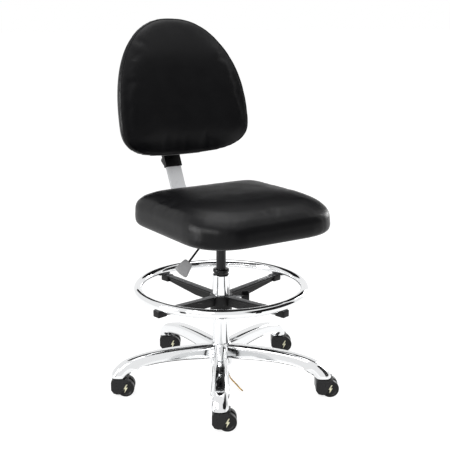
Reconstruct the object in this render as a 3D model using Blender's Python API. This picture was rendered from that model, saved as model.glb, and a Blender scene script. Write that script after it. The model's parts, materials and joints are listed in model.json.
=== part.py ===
"""Drafting chair with a footring, on a five-arm swivel base.

Metres, +Z up. The sitter faces -Y. The origin is on the floor, in the middle of the chair's box.
Everything is built round the swivel axis and hangs from an empty that stands on it.
"""

import math

import bmesh
import bpy
from mathutils import Matrix, Vector

# Clearances
SEAT_GAP = 0.0003  # between pieces that rest on each other, and round shafts
ROD_GAP = 0.0004  # round a rod that slides in a small hole

# Where the swivel axis stands from the middle of the chair's box
AXIS_X = -0.0054
AXIS_Y = -0.0207

# Casters
WHEEL_DIAMETER = 0.050
WHEEL_WIDTH = 0.0167
CASTER_TRAIL = 0.020  # stem axis to wheel axis
CASTER_WEB = 0.012  # plate between the two wheels
HOOD_WALL = 0.002
AXLE_DIAMETER = 0.006
STEM_DIAMETER = 0.011
STEM_COLLAR_DIAMETER = 0.019
STEM_COLLAR_HEIGHT = 0.002
STEM_IN_HOOD = 0.020
STEM_IN_BASE = 0.026
CASTER_HEADING = math.radians(-33.2)  # the way all five casters trail
CASTER_COUNT = 5

# Base
STEM_CIRCLE_RADIUS = 0.307
BASE_TURN = math.radians(-33.9)  # the first arm, from -Y towards +X
ARM_DROP = 0.0035  # an arm's back near the hub, below the hub's rim
ARM_DEPTH = 0.0375
ARM_HALF_WIDTH = 0.0215
ARM_WALL = 0.005
ARM_ROOT_GAP = 0.002  # between neighbouring arms, where they leave the hub
SOCKET_HALF_LENGTH = 0.0235
SOCKET_HALF_WIDTH = 0.0250
HUB_WALL = 0.0075
HUB_LIP_WALL = 0.0030
HUB_BOTTOM = 0.058
HUB_TOP = 0.1250

# Across an arm: share of the half width, share of the way down from its back to its belly
ARM_SECTION = (
    (0.0, 0.0), (0.42, 0.015), (0.66, 0.09), (0.80, 0.24), (0.92, 0.60), (1.0, 0.93), (0.96, 1.0),
)

# Gas lift
COLUMN_DIAMETER = 0.050
COLUMN_WALL = 0.0025
COLUMN_BOTTOM = 0.0545
COLUMN_TOP = 0.3313
COLUMN_FLOOR = 0.003
COLLAR_INSET = 0.0016  # the collar's side, inside the column's
COLLAR_HEIGHT = 0.0167
COLLAR_REACH = 0.066  # how far the guide bush reaches into the column
CYLINDER_DIAMETER = 0.028
CYLINDER_WALL = 0.0028
CYLINDER_BOTTOM = 0.130
CYLINDER_DROP = 0.0166  # cylinder's top, below the seat plate
CYLINDER_END = 0.012
ROD_DIAMETER = 0.010
ROD_TOP = 0.300
PISTON_HEIGHT = 0.012
BUTTON_DIAMETER = 0.0044
BUTTON_HEAD_DIAMETER = 0.009
BUTTON_HEAD_HEIGHT = 0.003
BEARING_HEIGHT = 0.0055
CLIP_THICKNESS = 0.0018

# Footring
RING_DIAMETER = 0.508
RING_TUBE_DIAMETER = 0.0254
RING_TUBE_WALL = 0.0020
RING_HEIGHT = 0.2936
RING_TURN = math.radians(11.8)  # the first spoke, from -Y towards +X
SPOKE_COUNT = 4
SPOKE_TOP_WIDTH = 0.020
SPOKE_FOOT_WIDTH = 0.013
SPOKE_DEPTH = 0.029
SPOKE_END_DEPTH = 0.0155
PAD_LENGTH = 0.031
PAD_WIDTH = 0.026
PAD_DEPTH = 0.019
PAD_SHORT = 0.0035  # how far the pads end inside the ring's outside
SPIDER_HUB_WALL = 0.0047  # outside the collet
SPIDER_HUB_HEIGHT = 0.0616
SPIDER_HUB_DROP = 0.0086  # hub's top, below the tops of the end pads
COLLET_WALL = 0.003
RING_SCREW_DIAMETER = 0.005
RING_SCREW_HEAD_DIAMETER = 0.010
RING_SCREW_HEAD_HEIGHT = 0.003
RING_SCREW_REACH = 0.008  # how deep each screw goes into the ring
RING_KNOB_DROP = 0.0080  # knob's axis, below the hub's top
RING_KNOB_RADIUS = 0.0165
RING_KNOB_LENGTH = 0.023
RING_KNOB_REACH = 0.026  # from the hub's side to the knob's inner face
STUD_DIAMETER = 0.008

# Seat
SEAT_FRONT_WIDTH = 0.452
SEAT_REAR_WIDTH = 0.440
SEAT_DEPTH = 0.424
SEAT_CENTRE_Y = -0.064
SEAT_FRONT_CORNER = 0.115
SEAT_REAR_CORNER = 0.060
SEAT_FRONT_BULGE = 0.012
SEAT_THICKNESS = 0.096
SEAT_TOP = 0.578
SEAT_FRONT_DROP = 0.022
BOARD_THICKNESS = 0.012
BOARD_INSET = 0.058
BOARD_INNER_SHARE = 0.6  # the board's faces are parted here, outside the seat plate
PLATE_THICKNESS = 0.003
PLATE_WIDTH = 0.170
PLATE_FRONT = -0.080
PLATE_REAR = 0.108
BOSS_WALL = 0.010
BOSS_DEPTH = 0.040
CHANNEL_WALL = 0.003
CHANNEL_GAP = 0.022  # from the boss to the channel's open end

# Height lever
LEVER_DIAMETER = 0.006
LEVER_FINGER_DROP = 0.0061  # from the plate to the middle of the finger
LEVER_PIVOT_X = -0.034
LEVER_SLOPE = math.radians(45.4)
LEVER_ROD_LENGTH = 0.121
LEVER_BARREL_RADIUS = 0.0055
LEVER_BARREL_LENGTH = 0.012
LEVER_PIN_DIAMETER = 0.004
LUG_THICKNESS = 0.003
PADDLE_LENGTH = 0.042
PADDLE_NECK_WIDTH = 0.028
PADDLE_END_WIDTH = 0.049
PADDLE_THICKNESS = 0.010
PADDLE_SOCKET = 0.016

# Upright
BAR_WIDTH = 0.0508
BAR_THICKNESS = 0.008
BAR_END_GAP = 0.010  # from the channel's open end to the bar's own end
BAR_RAKE = math.radians(25.5)  # upper length, from the vertical
BAR_LOWER_RAKE = math.radians(38.0)
BAR_KNEE_BACK = 0.0931  # knee, behind the seat's rear edge
BAR_KNEE_RISE = 0.0918  # knee, above the level end of the bar
BAR_TOP_LENGTH = 0.212  # from the knee to the top end
BAR_KNEE_RADIUS = 0.030
BAR_FOOT_RADIUS = 0.038

# Backrest
BACK_HALF_WIDTH = 0.2186
BACK_HEIGHT = 0.407
BACK_WIDEST = 0.2566  # share of the height at which the back is widest
BACK_LOWER_POWER = 3.3
BACK_UPPER_POWER = 2.2
BACK_WRAP = 0.0375  # how far the edges come forward, at 200 mm from the middle
BACK_FORWARD = 0.0121  # the back's lowest point, in front of the bar's knee
BACK_RISE = 0.0939  # and above it
BACK_TILT = math.radians(10.6)
BACK_THICKNESS = 0.055
BACK_BOARD_THICKNESS = 0.010
BACK_BOARD_INSET = 0.006
BACK_BOXING = 0.022
BACK_SHARES = (0.02, 0.35, 0.70, 1.0)  # rings of the shell, from its middle out to its edge
SLEEVE_WALL = 0.003
SLEEVE_START = 0.0602  # from the bar's knee, up along the bar
SLEEVE_LENGTH = 0.110
BRACKET_WIDTH = 0.040
BRACKET_REACH = 0.090  # long enough to pass through the shell before it is trimmed
BRACKET_LOW = 0.055  # bracket ends, up along the sleeve
BRACKET_HIGH = 0.100

# Clamp knobs under the seat and behind the back
KNOB_RADIUS = 0.018
KNOB_LENGTH = 0.020
KNOB_NECK = 0.004
KNOB_BORE_SHARE = 0.6  # depth of the stud's hole, of the knob's length
NUT_RADIUS = 0.009
NUT_HEIGHT = 0.006
DEPTH_KNOB_Y = 0.078
BACK_KNOB_UP = 0.030  # above the sleeve's lower end

# Drag chain
CHAIN_DIAMETER = 0.0045
CHAIN_POINTS = 22
EYE_SHANK_DIAMETER = 0.003
EYE_SHANK_LENGTH = 0.008
EYE_RING_RADIUS = 0.0032
EYE_WIRE_DIAMETER = 0.0018
EYE_TURN = math.radians(96.5)  # from -Y towards +X
CHAIN_ROUTE = (  # across and back from the eye, and up from the floor
    (0.0000, 0.0000, 0.0475),
    (0.0001, -0.0002, 0.0300),
    (0.0000, -0.0020, 0.0140),
    (-0.0012, -0.0120, 0.0045),
    (-0.0042, -0.0292, 0.0026),
    (-0.0082, -0.0472, 0.0026),
    (-0.0122, -0.0652, 0.0026),
    (-0.0172, -0.0832, 0.0026),
    (-0.0202, -0.1022, 0.0026),
)

# Sizes that follow from the ones above
WHEEL_RADIUS = WHEEL_DIAMETER / 2
HOOD_RADIUS = WHEEL_RADIUS + 2 * SEAT_GAP + HOOD_WALL
HOOD_TOP = WHEEL_RADIUS + HOOD_RADIUS
HOOD_HALF_WIDTH = CASTER_WEB / 2 + WHEEL_WIDTH + 2 * SEAT_GAP + HOOD_WALL
SOCKET_BOTTOM = HOOD_TOP + STEM_COLLAR_HEIGHT + 2 * SEAT_GAP
COLUMN_RADIUS = COLUMN_DIAMETER / 2
COLUMN_BORE = COLUMN_RADIUS - COLUMN_WALL
COLLAR_RADIUS = COLUMN_RADIUS - COLLAR_INSET
COLLAR_TOP = COLUMN_TOP + COLLAR_HEIGHT
HUB_RADIUS = COLUMN_RADIUS + HUB_WALL
HUB_LIP_RADIUS = COLUMN_RADIUS + HUB_LIP_WALL
ARM_TOP = HUB_TOP - ARM_DROP
CYLINDER_RADIUS = CYLINDER_DIAMETER / 2
CYLINDER_BORE = CYLINDER_RADIUS - CYLINDER_WALL
RING_TUBE_RADIUS = RING_TUBE_DIAMETER / 2
RING_RADIUS = RING_DIAMETER / 2 - RING_TUBE_RADIUS
PAD_TOP = RING_HEIGHT - RING_TUBE_RADIUS - SEAT_GAP
COLLET_RADIUS = COLUMN_RADIUS + SEAT_GAP + COLLET_WALL
SPIDER_HUB_RADIUS = COLLET_RADIUS + SPIDER_HUB_WALL
SPIDER_HUB_TOP = PAD_TOP - SPIDER_HUB_DROP
SPIDER_HUB_BOTTOM = SPIDER_HUB_TOP - SPIDER_HUB_HEIGHT
RING_KNOB_START = SPIDER_HUB_RADIUS + RING_KNOB_REACH
RING_KNOB_LEVEL = SPIDER_HUB_TOP - RING_KNOB_DROP
KNOB_TURN = RING_TURN + math.pi / SPOKE_COUNT
CUSHION_BOTTOM = SEAT_TOP - SEAT_THICKNESS
BOARD_TOP = CUSHION_BOTTOM - SEAT_GAP
BOARD_BOTTOM = BOARD_TOP - BOARD_THICKNESS
PLATE_TOP = BOARD_BOTTOM - SEAT_GAP
PLATE_BOTTOM = PLATE_TOP - PLATE_THICKNESS
CYLINDER_TOP = PLATE_BOTTOM - CYLINDER_DROP
BOSS_RADIUS = CYLINDER_RADIUS + BOSS_WALL
CHANNEL_FRONT = BOSS_RADIUS + CHANNEL_GAP
BAR_FRONT = CHANNEL_FRONT + BAR_END_GAP
BAR_LEVEL = PLATE_BOTTOM - SEAT_GAP - BAR_THICKNESS / 2
CHANNEL_FLOOR = BAR_LEVEL - BAR_THICKNESS / 2 - SEAT_GAP
LEVER_LEVEL = PLATE_BOTTOM - LEVER_FINGER_DROP
BAR_UP = Vector((0.0, math.sin(BAR_RAKE), math.cos(BAR_RAKE)))
BAR_BACK = Vector((0.0, math.cos(BAR_RAKE), -math.sin(BAR_RAKE)))
BAR_KNEE_Y = SEAT_CENTRE_Y + SEAT_DEPTH / 2 + BAR_KNEE_BACK
BAR_KNEE_Z = BAR_LEVEL + BAR_KNEE_RISE
BAR_KNEE = Vector((0.0, BAR_KNEE_Y, BAR_KNEE_Z))
BACK_BOTTOM_Y = BAR_KNEE_Y - BACK_FORWARD
BACK_BOTTOM_Z = BAR_KNEE_Z + BACK_RISE


# Mesh helpers


def finished(bm):
    """Turns a bmesh into a closed mesh that faces outwards."""
    bmesh.ops.remove_doubles(bm, verts=bm.verts, dist=1e-6)
    bmesh.ops.recalc_face_normals(bm, faces=bm.faces)
    mesh = bpy.data.meshes.new("shape")
    bm.to_mesh(mesh)
    bm.free()
    return mesh


def turned(profile, steps=32):
    """A solid turned about Z from (radius, height) points. An outline off the axis is a closed ring."""
    bm = bmesh.new()
    points = [bm.verts.new((radius, 0.0, height)) for radius, height in profile]
    edges = [bm.edges.new(pair) for pair in zip(points, points[1:])]
    if profile[0][0] > 0 or profile[-1][0] > 0:
        edges.append(bm.edges.new((points[-1], points[0])))
    bmesh.ops.spin(
        bm, geom=points + edges, cent=(0, 0, 0), axis=(0, 0, 1),
        angle=2 * math.pi, steps=steps, use_merge=True,
    )
    return finished(bm)


def hoop(radius, height, thickness, sides, steps):
    """A level ring of round wire: thickness is the wire's radius."""
    return turned(arc((radius, height), thickness, 0, -2 * math.pi, sides)[:-1], steps)


def tube(outer, inner, low, high, steps=32):
    """An upright round tube, or a rod where inner is 0."""
    return turned([(inner, high), (outer, high), (outer, low), (inner, low)], steps)


def prism(outline, low, high):
    """An outline in the XY plane, extruded from low to high along Z."""
    bm = bmesh.new()
    face = bm.faces.new([bm.verts.new((x, y, low)) for x, y in outline])
    grown = bmesh.ops.extrude_face_region(bm, geom=[face])["geom"]
    moved = [item for item in grown if isinstance(item, bmesh.types.BMVert)]
    bmesh.ops.translate(bm, verts=moved, vec=(0, 0, high - low))
    return finished(bm)


def lofted(rings):
    """A skin of triangles over rings of as many points each, with a face over each end."""
    bm = bmesh.new()
    rows = [[bm.verts.new(point) for point in ring] for ring in rings]
    for row, following in zip(rows, rows[1:]):
        for i in range(len(row)):
            after = (i + 1) % len(row)
            bm.faces.new((row[i], row[after], following[after]))
            bm.faces.new((row[i], following[after], following[i]))
    bm.faces.new(rows[0])
    bm.faces.new(rows[-1])
    return finished(bm)


def block(low, high):
    """A box between two corners."""
    (x0, y0, z0), (x1, y1, z1) = low, high
    return prism([(x0, y0), (x1, y0), (x1, y1), (x0, y1)], z0, z1)


def baked(obj):
    """The object's mesh with its modifiers applied. The object itself is removed."""
    bpy.context.view_layer.update()
    graph = bpy.context.evaluated_depsgraph_get()
    mesh = bpy.data.meshes.new_from_object(obj.evaluated_get(graph))
    bpy.data.objects.remove(obj, do_unlink=True)
    return mesh


def linked(mesh):
    """A bare object that holds the mesh while a modifier works on it."""
    obj = bpy.data.objects.new("work", mesh)
    bpy.context.collection.objects.link(obj)
    return obj


def combined(mesh, tool, operation):
    """The mesh joined with the tool, or cut by it."""
    body = linked(mesh)
    helper = linked(tool)
    modifier = body.modifiers.new("Boolean", "BOOLEAN")
    modifier.operation = operation
    modifier.object = helper
    result = baked(body)
    bpy.data.objects.remove(helper, do_unlink=True)
    return result


def joined(mesh, *tools):
    for tool in tools:
        mesh = combined(mesh, tool, "UNION")
    return mesh


def cut(mesh, *tools):
    for tool in tools:
        mesh = combined(mesh, tool, "DIFFERENCE")
    return mesh


def bevelled(mesh, width, segments=2):
    """The mesh with its sharp edges rounded."""
    body = linked(mesh)
    modifier = body.modifiers.new("Bevel", "BEVEL")
    modifier.width = width
    modifier.segments = segments
    modifier.limit_method = "ANGLE"
    modifier.angle_limit = math.radians(40)
    return baked(body)


def placed(mesh, matrix):
    mesh.transform(matrix)
    return mesh


def wire(points, diameter, resolution=2):
    """A round wire along the points, with flat ends."""
    curve = bpy.data.curves.new("wire", "CURVE")
    curve.dimensions = "3D"
    curve.bevel_depth = diameter / 2
    curve.bevel_resolution = resolution
    curve.use_fill_caps = True
    spline = curve.splines.new("POLY")
    spline.points.add(len(points) - 1)
    for slot, point in zip(spline.points, points):
        slot.co = (*point, 1.0)
    return curve


def outward(angle):
    """The level direction at an angle from -Y towards +X."""
    return Vector((math.sin(angle), -math.cos(angle), 0.0))


def facing(angle):
    """Turns +X to the level direction at an angle from -Y towards +X."""
    return Matrix.Rotation(angle - math.pi / 2, 4, "Z")


def along_x(mesh):
    """Lays a piece that stands on Z along +X."""
    return placed(mesh, Matrix.Rotation(math.pi / 2, 4, "Y"))


def along_y(mesh):
    """Lays a piece that stands on Z along -Y."""
    return placed(mesh, Matrix.Rotation(math.pi / 2, 4, "X"))


def arc(centre, radius, start, end, steps):
    """Points of a flat arc, from one angle to another."""
    angles = [start + (end - start) * i / steps for i in range(steps + 1)]
    return [(centre[0] + radius * math.cos(a), centre[1] + radius * math.sin(a)) for a in angles]


def rounded_path(corners, radii, steps=6):
    """A path in a plane through the corners, with each inner corner rounded to its radius."""
    path = [Vector(corners[0])]
    for before, corner, after, radius in zip(corners, corners[1:], corners[2:], radii):
        corner = Vector(corner)
        back = (Vector(before) - corner).normalized()
        ahead = (Vector(after) - corner).normalized()
        half = back.angle(ahead) / 2
        centre = corner + (back + ahead).normalized() * (radius / math.sin(half))
        start = corner + back * (radius / math.tan(half)) - centre
        end = corner + ahead * (radius / math.tan(half)) - centre
        turn = start.angle_signed(end)
        for i in range(steps + 1):
            path.append(centre + Matrix.Rotation(-turn * i / steps, 2) @ start)
    path.append(Vector(corners[-1]))
    return path


def offset_path(path, distance):
    """The path moved sideways, to its left."""
    moved = []
    for i, point in enumerate(path):
        before = path[max(i - 1, 0)]
        after = path[min(i + 1, len(path) - 1)]
        run = (after - before).normalized()
        moved.append(point + Vector((-run.y, run.x)) * distance)
    return moved


# Objects


def finish(name, colour, roughness, metallic=0.0):
    material = bpy.data.materials.new(name)
    material.use_nodes = True
    shader = material.node_tree.nodes["Principled BSDF"]
    shader.inputs["Base Color"].default_value = (*colour, 1.0)
    shader.inputs["Roughness"].default_value = roughness
    shader.inputs["Metallic"].default_value = metallic
    return material


def empty(name, parent, location=(0, 0, 0), turn=0.0):
    obj = bpy.data.objects.new(name, None)
    obj.location = location
    obj.rotation_euler.z = turn
    obj.parent = parent
    bpy.context.collection.objects.link(obj)
    return obj


def piece(name, mesh, material, parent, origin=(0, 0, 0)):
    """A node. The mesh is given in its parent's axes, and the object's origin is put at origin."""
    mesh.transform(Matrix.Translation(-Vector(origin)))
    obj = shared_piece(name, mesh, material, parent, origin)
    mesh.shade_smooth()
    mesh.set_sharp_from_angle(angle=math.radians(32))
    return obj


def shared_piece(name, data, material, parent, location=(0, 0, 0)):
    """A node on a mesh or a curve that stays as it is."""
    obj = bpy.data.objects.new(name, data)
    if not data.materials:
        data.materials.append(material)
    obj.parent = parent
    obj.location = location
    bpy.context.collection.objects.link(obj)
    return obj


# Casters


def hood_mesh():
    """The hood over both wheels, in the caster's own axes: stem on Z, wheels on +X."""
    front = -STEM_DIAMETER / 2 - 0.0155
    corner = 0.010
    wheel = (CASTER_TRAIL, WHEEL_RADIUS)
    seam_lean = math.atan2(0.018, 0.034)
    seam_top = math.pi / 2 - math.radians(18)
    roof = arc(wheel, HOOD_RADIUS, seam_top, math.pi / 2, 4)
    nose = arc((front + corner, HOOD_TOP - corner), corner, math.pi / 2, math.pi, 4)
    low = 0.008
    foot = (roof[0][0] - (roof[0][1] - low) * math.tan(seam_lean), low)
    side = roof + nose + [(front, 0.021), (front + 0.007, low + 0.003), (front + 0.016, low), foot]
    body = bevelled(along_y(prism(side, -HOOD_HALF_WIDTH, HOOD_HALF_WIDTH)), 0.0016, 1)
    at_wheel = Matrix.Translation((CASTER_TRAIL, 0, WHEEL_RADIUS))
    inner = CASTER_WEB / 2
    outer = inner + WHEEL_WIDTH + 2 * SEAT_GAP
    web = along_y(tube(WHEEL_RADIUS - 0.005, 0.0, -inner - 0.001, inner + 0.001, 20))
    body = joined(body, placed(web, at_wheel))
    for low_side, high_side in ((-outer, -inner), (inner, outer)):
        pocket = along_y(tube(WHEEL_RADIUS + 2 * SEAT_GAP, 0.0, low_side, high_side, 28))
        body = cut(body, placed(pocket, at_wheel))
    bore_floor = HOOD_TOP - STEM_IN_HOOD - SEAT_GAP
    bore = tube(STEM_DIAMETER / 2 + SEAT_GAP, 0.0, bore_floor, HOOD_TOP + 0.01, 16)
    axle_hole = along_y(tube(AXLE_DIAMETER / 2 + SEAT_GAP, 0.0, -CASTER_WEB, CASTER_WEB, 12))
    return cut(body, bore, placed(axle_hole, at_wheel))


def stem_mesh():
    """A pin that is fixed in the base and turns in the hood."""
    radius = STEM_DIAMETER / 2
    collar_low = HOOD_TOP + SEAT_GAP
    collar_high = collar_low + STEM_COLLAR_HEIGHT
    top = SOCKET_BOTTOM + STEM_IN_BASE
    return turned([
        (0, top), (radius - 0.002, top), (radius, top - 0.003),
        (radius, collar_high), (STEM_COLLAR_DIAMETER / 2, collar_high),
        (STEM_COLLAR_DIAMETER / 2, collar_low), (radius, collar_low),
        (radius, HOOD_TOP - STEM_IN_HOOD), (0, HOOD_TOP - STEM_IN_HOOD),
    ], 16)


def wheel_mesh():
    """One wheel, standing on Z: tread, dished outer face and a blind hub bore."""
    rim = WHEEL_RADIUS
    round_edge = 0.0022
    bore = AXLE_DIAMETER / 2 + SEAT_GAP
    blind = WHEEL_WIDTH - 0.003
    return turned([
        (0, WHEEL_WIDTH - 0.0010), (rim - 0.008, WHEEL_WIDTH - 0.0010), (rim - 0.0065, WHEEL_WIDTH),
        (rim - round_edge, WHEEL_WIDTH), (rim, WHEEL_WIDTH - round_edge), (rim, round_edge),
        (rim - round_edge, 0), (bore, 0), (bore, blind), (0, blind),
    ], 20)


def build_casters(chair, steel, nylon, tread):
    hood = hood_mesh()
    stem = stem_mesh()
    wheel = wheel_mesh()
    reach = CASTER_WEB / 2 + WHEEL_WIDTH - 0.004
    axle = tube(AXLE_DIAMETER / 2, 0.0, -reach, reach, 12)
    for mesh in (hood, stem, wheel, axle):
        mesh.shade_smooth()
        mesh.set_sharp_from_angle(angle=math.radians(32))
    for number in range(1, CASTER_COUNT + 1):
        angle = BASE_TURN + (number - 1) * 2 * math.pi / CASTER_COUNT
        spot = outward(angle) * STEM_CIRCLE_RADIUS
        name = f"caster_{number}"
        shared_piece(f"{name}_stem", stem, steel, chair, spot)
        swivel = empty(f"{name}_swivel_axis", chair, spot, CASTER_HEADING)
        shared_piece(f"{name}_hood", hood, nylon, swivel)
        axis = empty(f"{name}_wheel_axis", swivel, (CASTER_TRAIL, 0, WHEEL_RADIUS))
        rod = shared_piece(f"{name}_axle", axle, steel, axis)
        rod.rotation_euler.x = math.pi / 2
        inner = CASTER_WEB / 2 + SEAT_GAP
        left = shared_piece(f"{name}_wheel_left", wheel, tread, axis, (0, inner, 0))
        left.rotation_euler.x = -math.pi / 2
        right = shared_piece(f"{name}_wheel_right", wheel, tread, axis, (0, -inner, 0))
        right.rotation_euler.x = math.pi / 2


# Base


def arm_stations():
    """An arm from the hub out: back point and belly point, as (radius, height), and half width."""
    tip = STEM_CIRCLE_RADIUS + SOCKET_HALF_LENGTH
    heel = STEM_CIRCLE_RADIUS - SOCKET_HALF_LENGTH
    belly = ARM_TOP - ARM_DEPTH
    shoulder = STEM_CIRCLE_RADIUS - 0.052
    root = COLUMN_RADIUS + SEAT_GAP + 0.0012
    half = ARM_HALF_WIDTH
    root_half = root * math.tan(math.pi / CASTER_COUNT) - ARM_ROOT_GAP / 2
    return [
        ((root, ARM_TOP - 0.001), (root, belly), root_half),
        ((0.060, ARM_TOP), (0.060, belly + 0.001), half),
        ((0.110, ARM_TOP), (0.110, belly + 0.0045), half),
        ((0.160, ARM_TOP - 0.0015), (0.160, belly + 0.0055), half),
        ((0.210, ARM_TOP - 0.0055), (0.206, belly + 0.0035), half),
        ((shoulder, ARM_TOP - 0.0135), (shoulder - 0.012, belly - 0.002), half + 0.0005),
        ((STEM_CIRCLE_RADIUS - 0.017, ARM_TOP - 0.025), (heel - 0.018, belly - 0.010), half + 0.0015),
        ((tip - 0.0165, ARM_TOP - 0.041), (heel - 0.006, belly - 0.0185), half + 0.0025),
        ((tip - 0.004, SOCKET_BOTTOM + 0.011), (heel - 0.001, SOCKET_BOTTOM + 0.005), SOCKET_HALF_WIDTH),
        ((tip, SOCKET_BOTTOM), (heel, SOCKET_BOTTOM), SOCKET_HALF_WIDTH),
    ]


def arm_ring(back, belly, half, roundness):
    """One section across an arm: a ridged channel shape that turns into an oval at the socket."""
    ring = []
    back_point = Vector((back[0], 0.0, back[1]))
    belly_point = Vector((belly[0], 0.0, belly[1]))
    sides = [(across, down, 1) for across, down in ARM_SECTION]
    sides += [(across, down, -1) for across, down in reversed(ARM_SECTION[1:])]
    for across, down, sign in sides:
        turn = math.pi * down
        oval_across = math.sin(turn)
        oval_down = (1 - math.cos(turn)) / 2
        if down in (0.0, 1.0):
            oval_across = 0.25 if down else 0.0
        wide = across + (oval_across - across) * roundness
        deep = down + (oval_down - down) * roundness
        point = back_point.lerp(belly_point, deep)
        point.y = sign * half * wide
        ring.append(point)
    return ring


def arm_mesh():
    stations = arm_stations()
    rings = []
    for index, (back, belly, half) in enumerate(stations):
        roundness = max(0.0, (index - 6) / (len(stations) - 7))
        rings.append(arm_ring(back, belly, half, roundness))
    return lofted(rings)


def arm_channel_mesh():
    """The hollow under an arm, as a cutter."""
    rings = []
    for back, belly, half in arm_stations()[1:6]:
        depth = back[1] - belly[1]
        share = ARM_WALL / depth
        inner_back = (back[0] + (belly[0] - back[0]) * share, back[1] - ARM_WALL)
        inner_belly = (belly[0], belly[1] - 0.006)
        rings.append(arm_ring(inner_back, inner_belly, half - ARM_WALL, 0.0))
    return lofted(rings)


def eye_spot():
    """The chain's eye screws into the middle of the hub's wall."""
    return outward(EYE_TURN) * (COLUMN_RADIUS + HUB_RADIUS) / 2


def build_base(chair, aluminium):
    hub = turned([
        (0, HUB_TOP), (HUB_LIP_RADIUS, HUB_TOP), (HUB_LIP_RADIUS + 0.0006, HUB_TOP - 0.003),
        (HUB_LIP_RADIUS - 0.0012, HUB_TOP - 0.007), (HUB_RADIUS - 0.003, ARM_TOP - 0.016),
        (HUB_RADIUS, ARM_TOP - ARM_DEPTH - 0.003), (HUB_RADIUS, HUB_BOTTOM + 0.001),
        (HUB_RADIUS - 0.001, HUB_BOTTOM), (0, HUB_BOTTOM),
    ], 32)
    bore = tube(COLUMN_RADIUS + SEAT_GAP, 0.0, HUB_BOTTOM - 0.01, HUB_TOP + 0.01, 32)
    body = cut(hub, bore)
    for number in range(CASTER_COUNT):
        turn = facing(BASE_TURN + number * 2 * math.pi / CASTER_COUNT)
        body = joined(body, placed(arm_mesh(), turn))
    for number in range(CASTER_COUNT):
        angle = BASE_TURN + number * 2 * math.pi / CASTER_COUNT
        body = cut(body, placed(arm_channel_mesh(), facing(angle)))
        socket = tube(STEM_DIAMETER / 2 + SEAT_GAP, 0.0, SOCKET_BOTTOM - 0.01,
                      SOCKET_BOTTOM + STEM_IN_BASE + SEAT_GAP, 16)
        body = cut(body, placed(socket, Matrix.Translation(outward(angle) * STEM_CIRCLE_RADIUS)))
    eye_hole = tube(EYE_SHANK_DIAMETER / 2 + SEAT_GAP, 0.0, HUB_BOTTOM - 0.01,
                    HUB_BOTTOM + EYE_SHANK_LENGTH + SEAT_GAP, 12)
    eye_hole = placed(eye_hole, Matrix.Translation(eye_spot()))
    piece("base_star", cut(body, eye_hole), aluminium, chair)


# Gas lift


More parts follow.
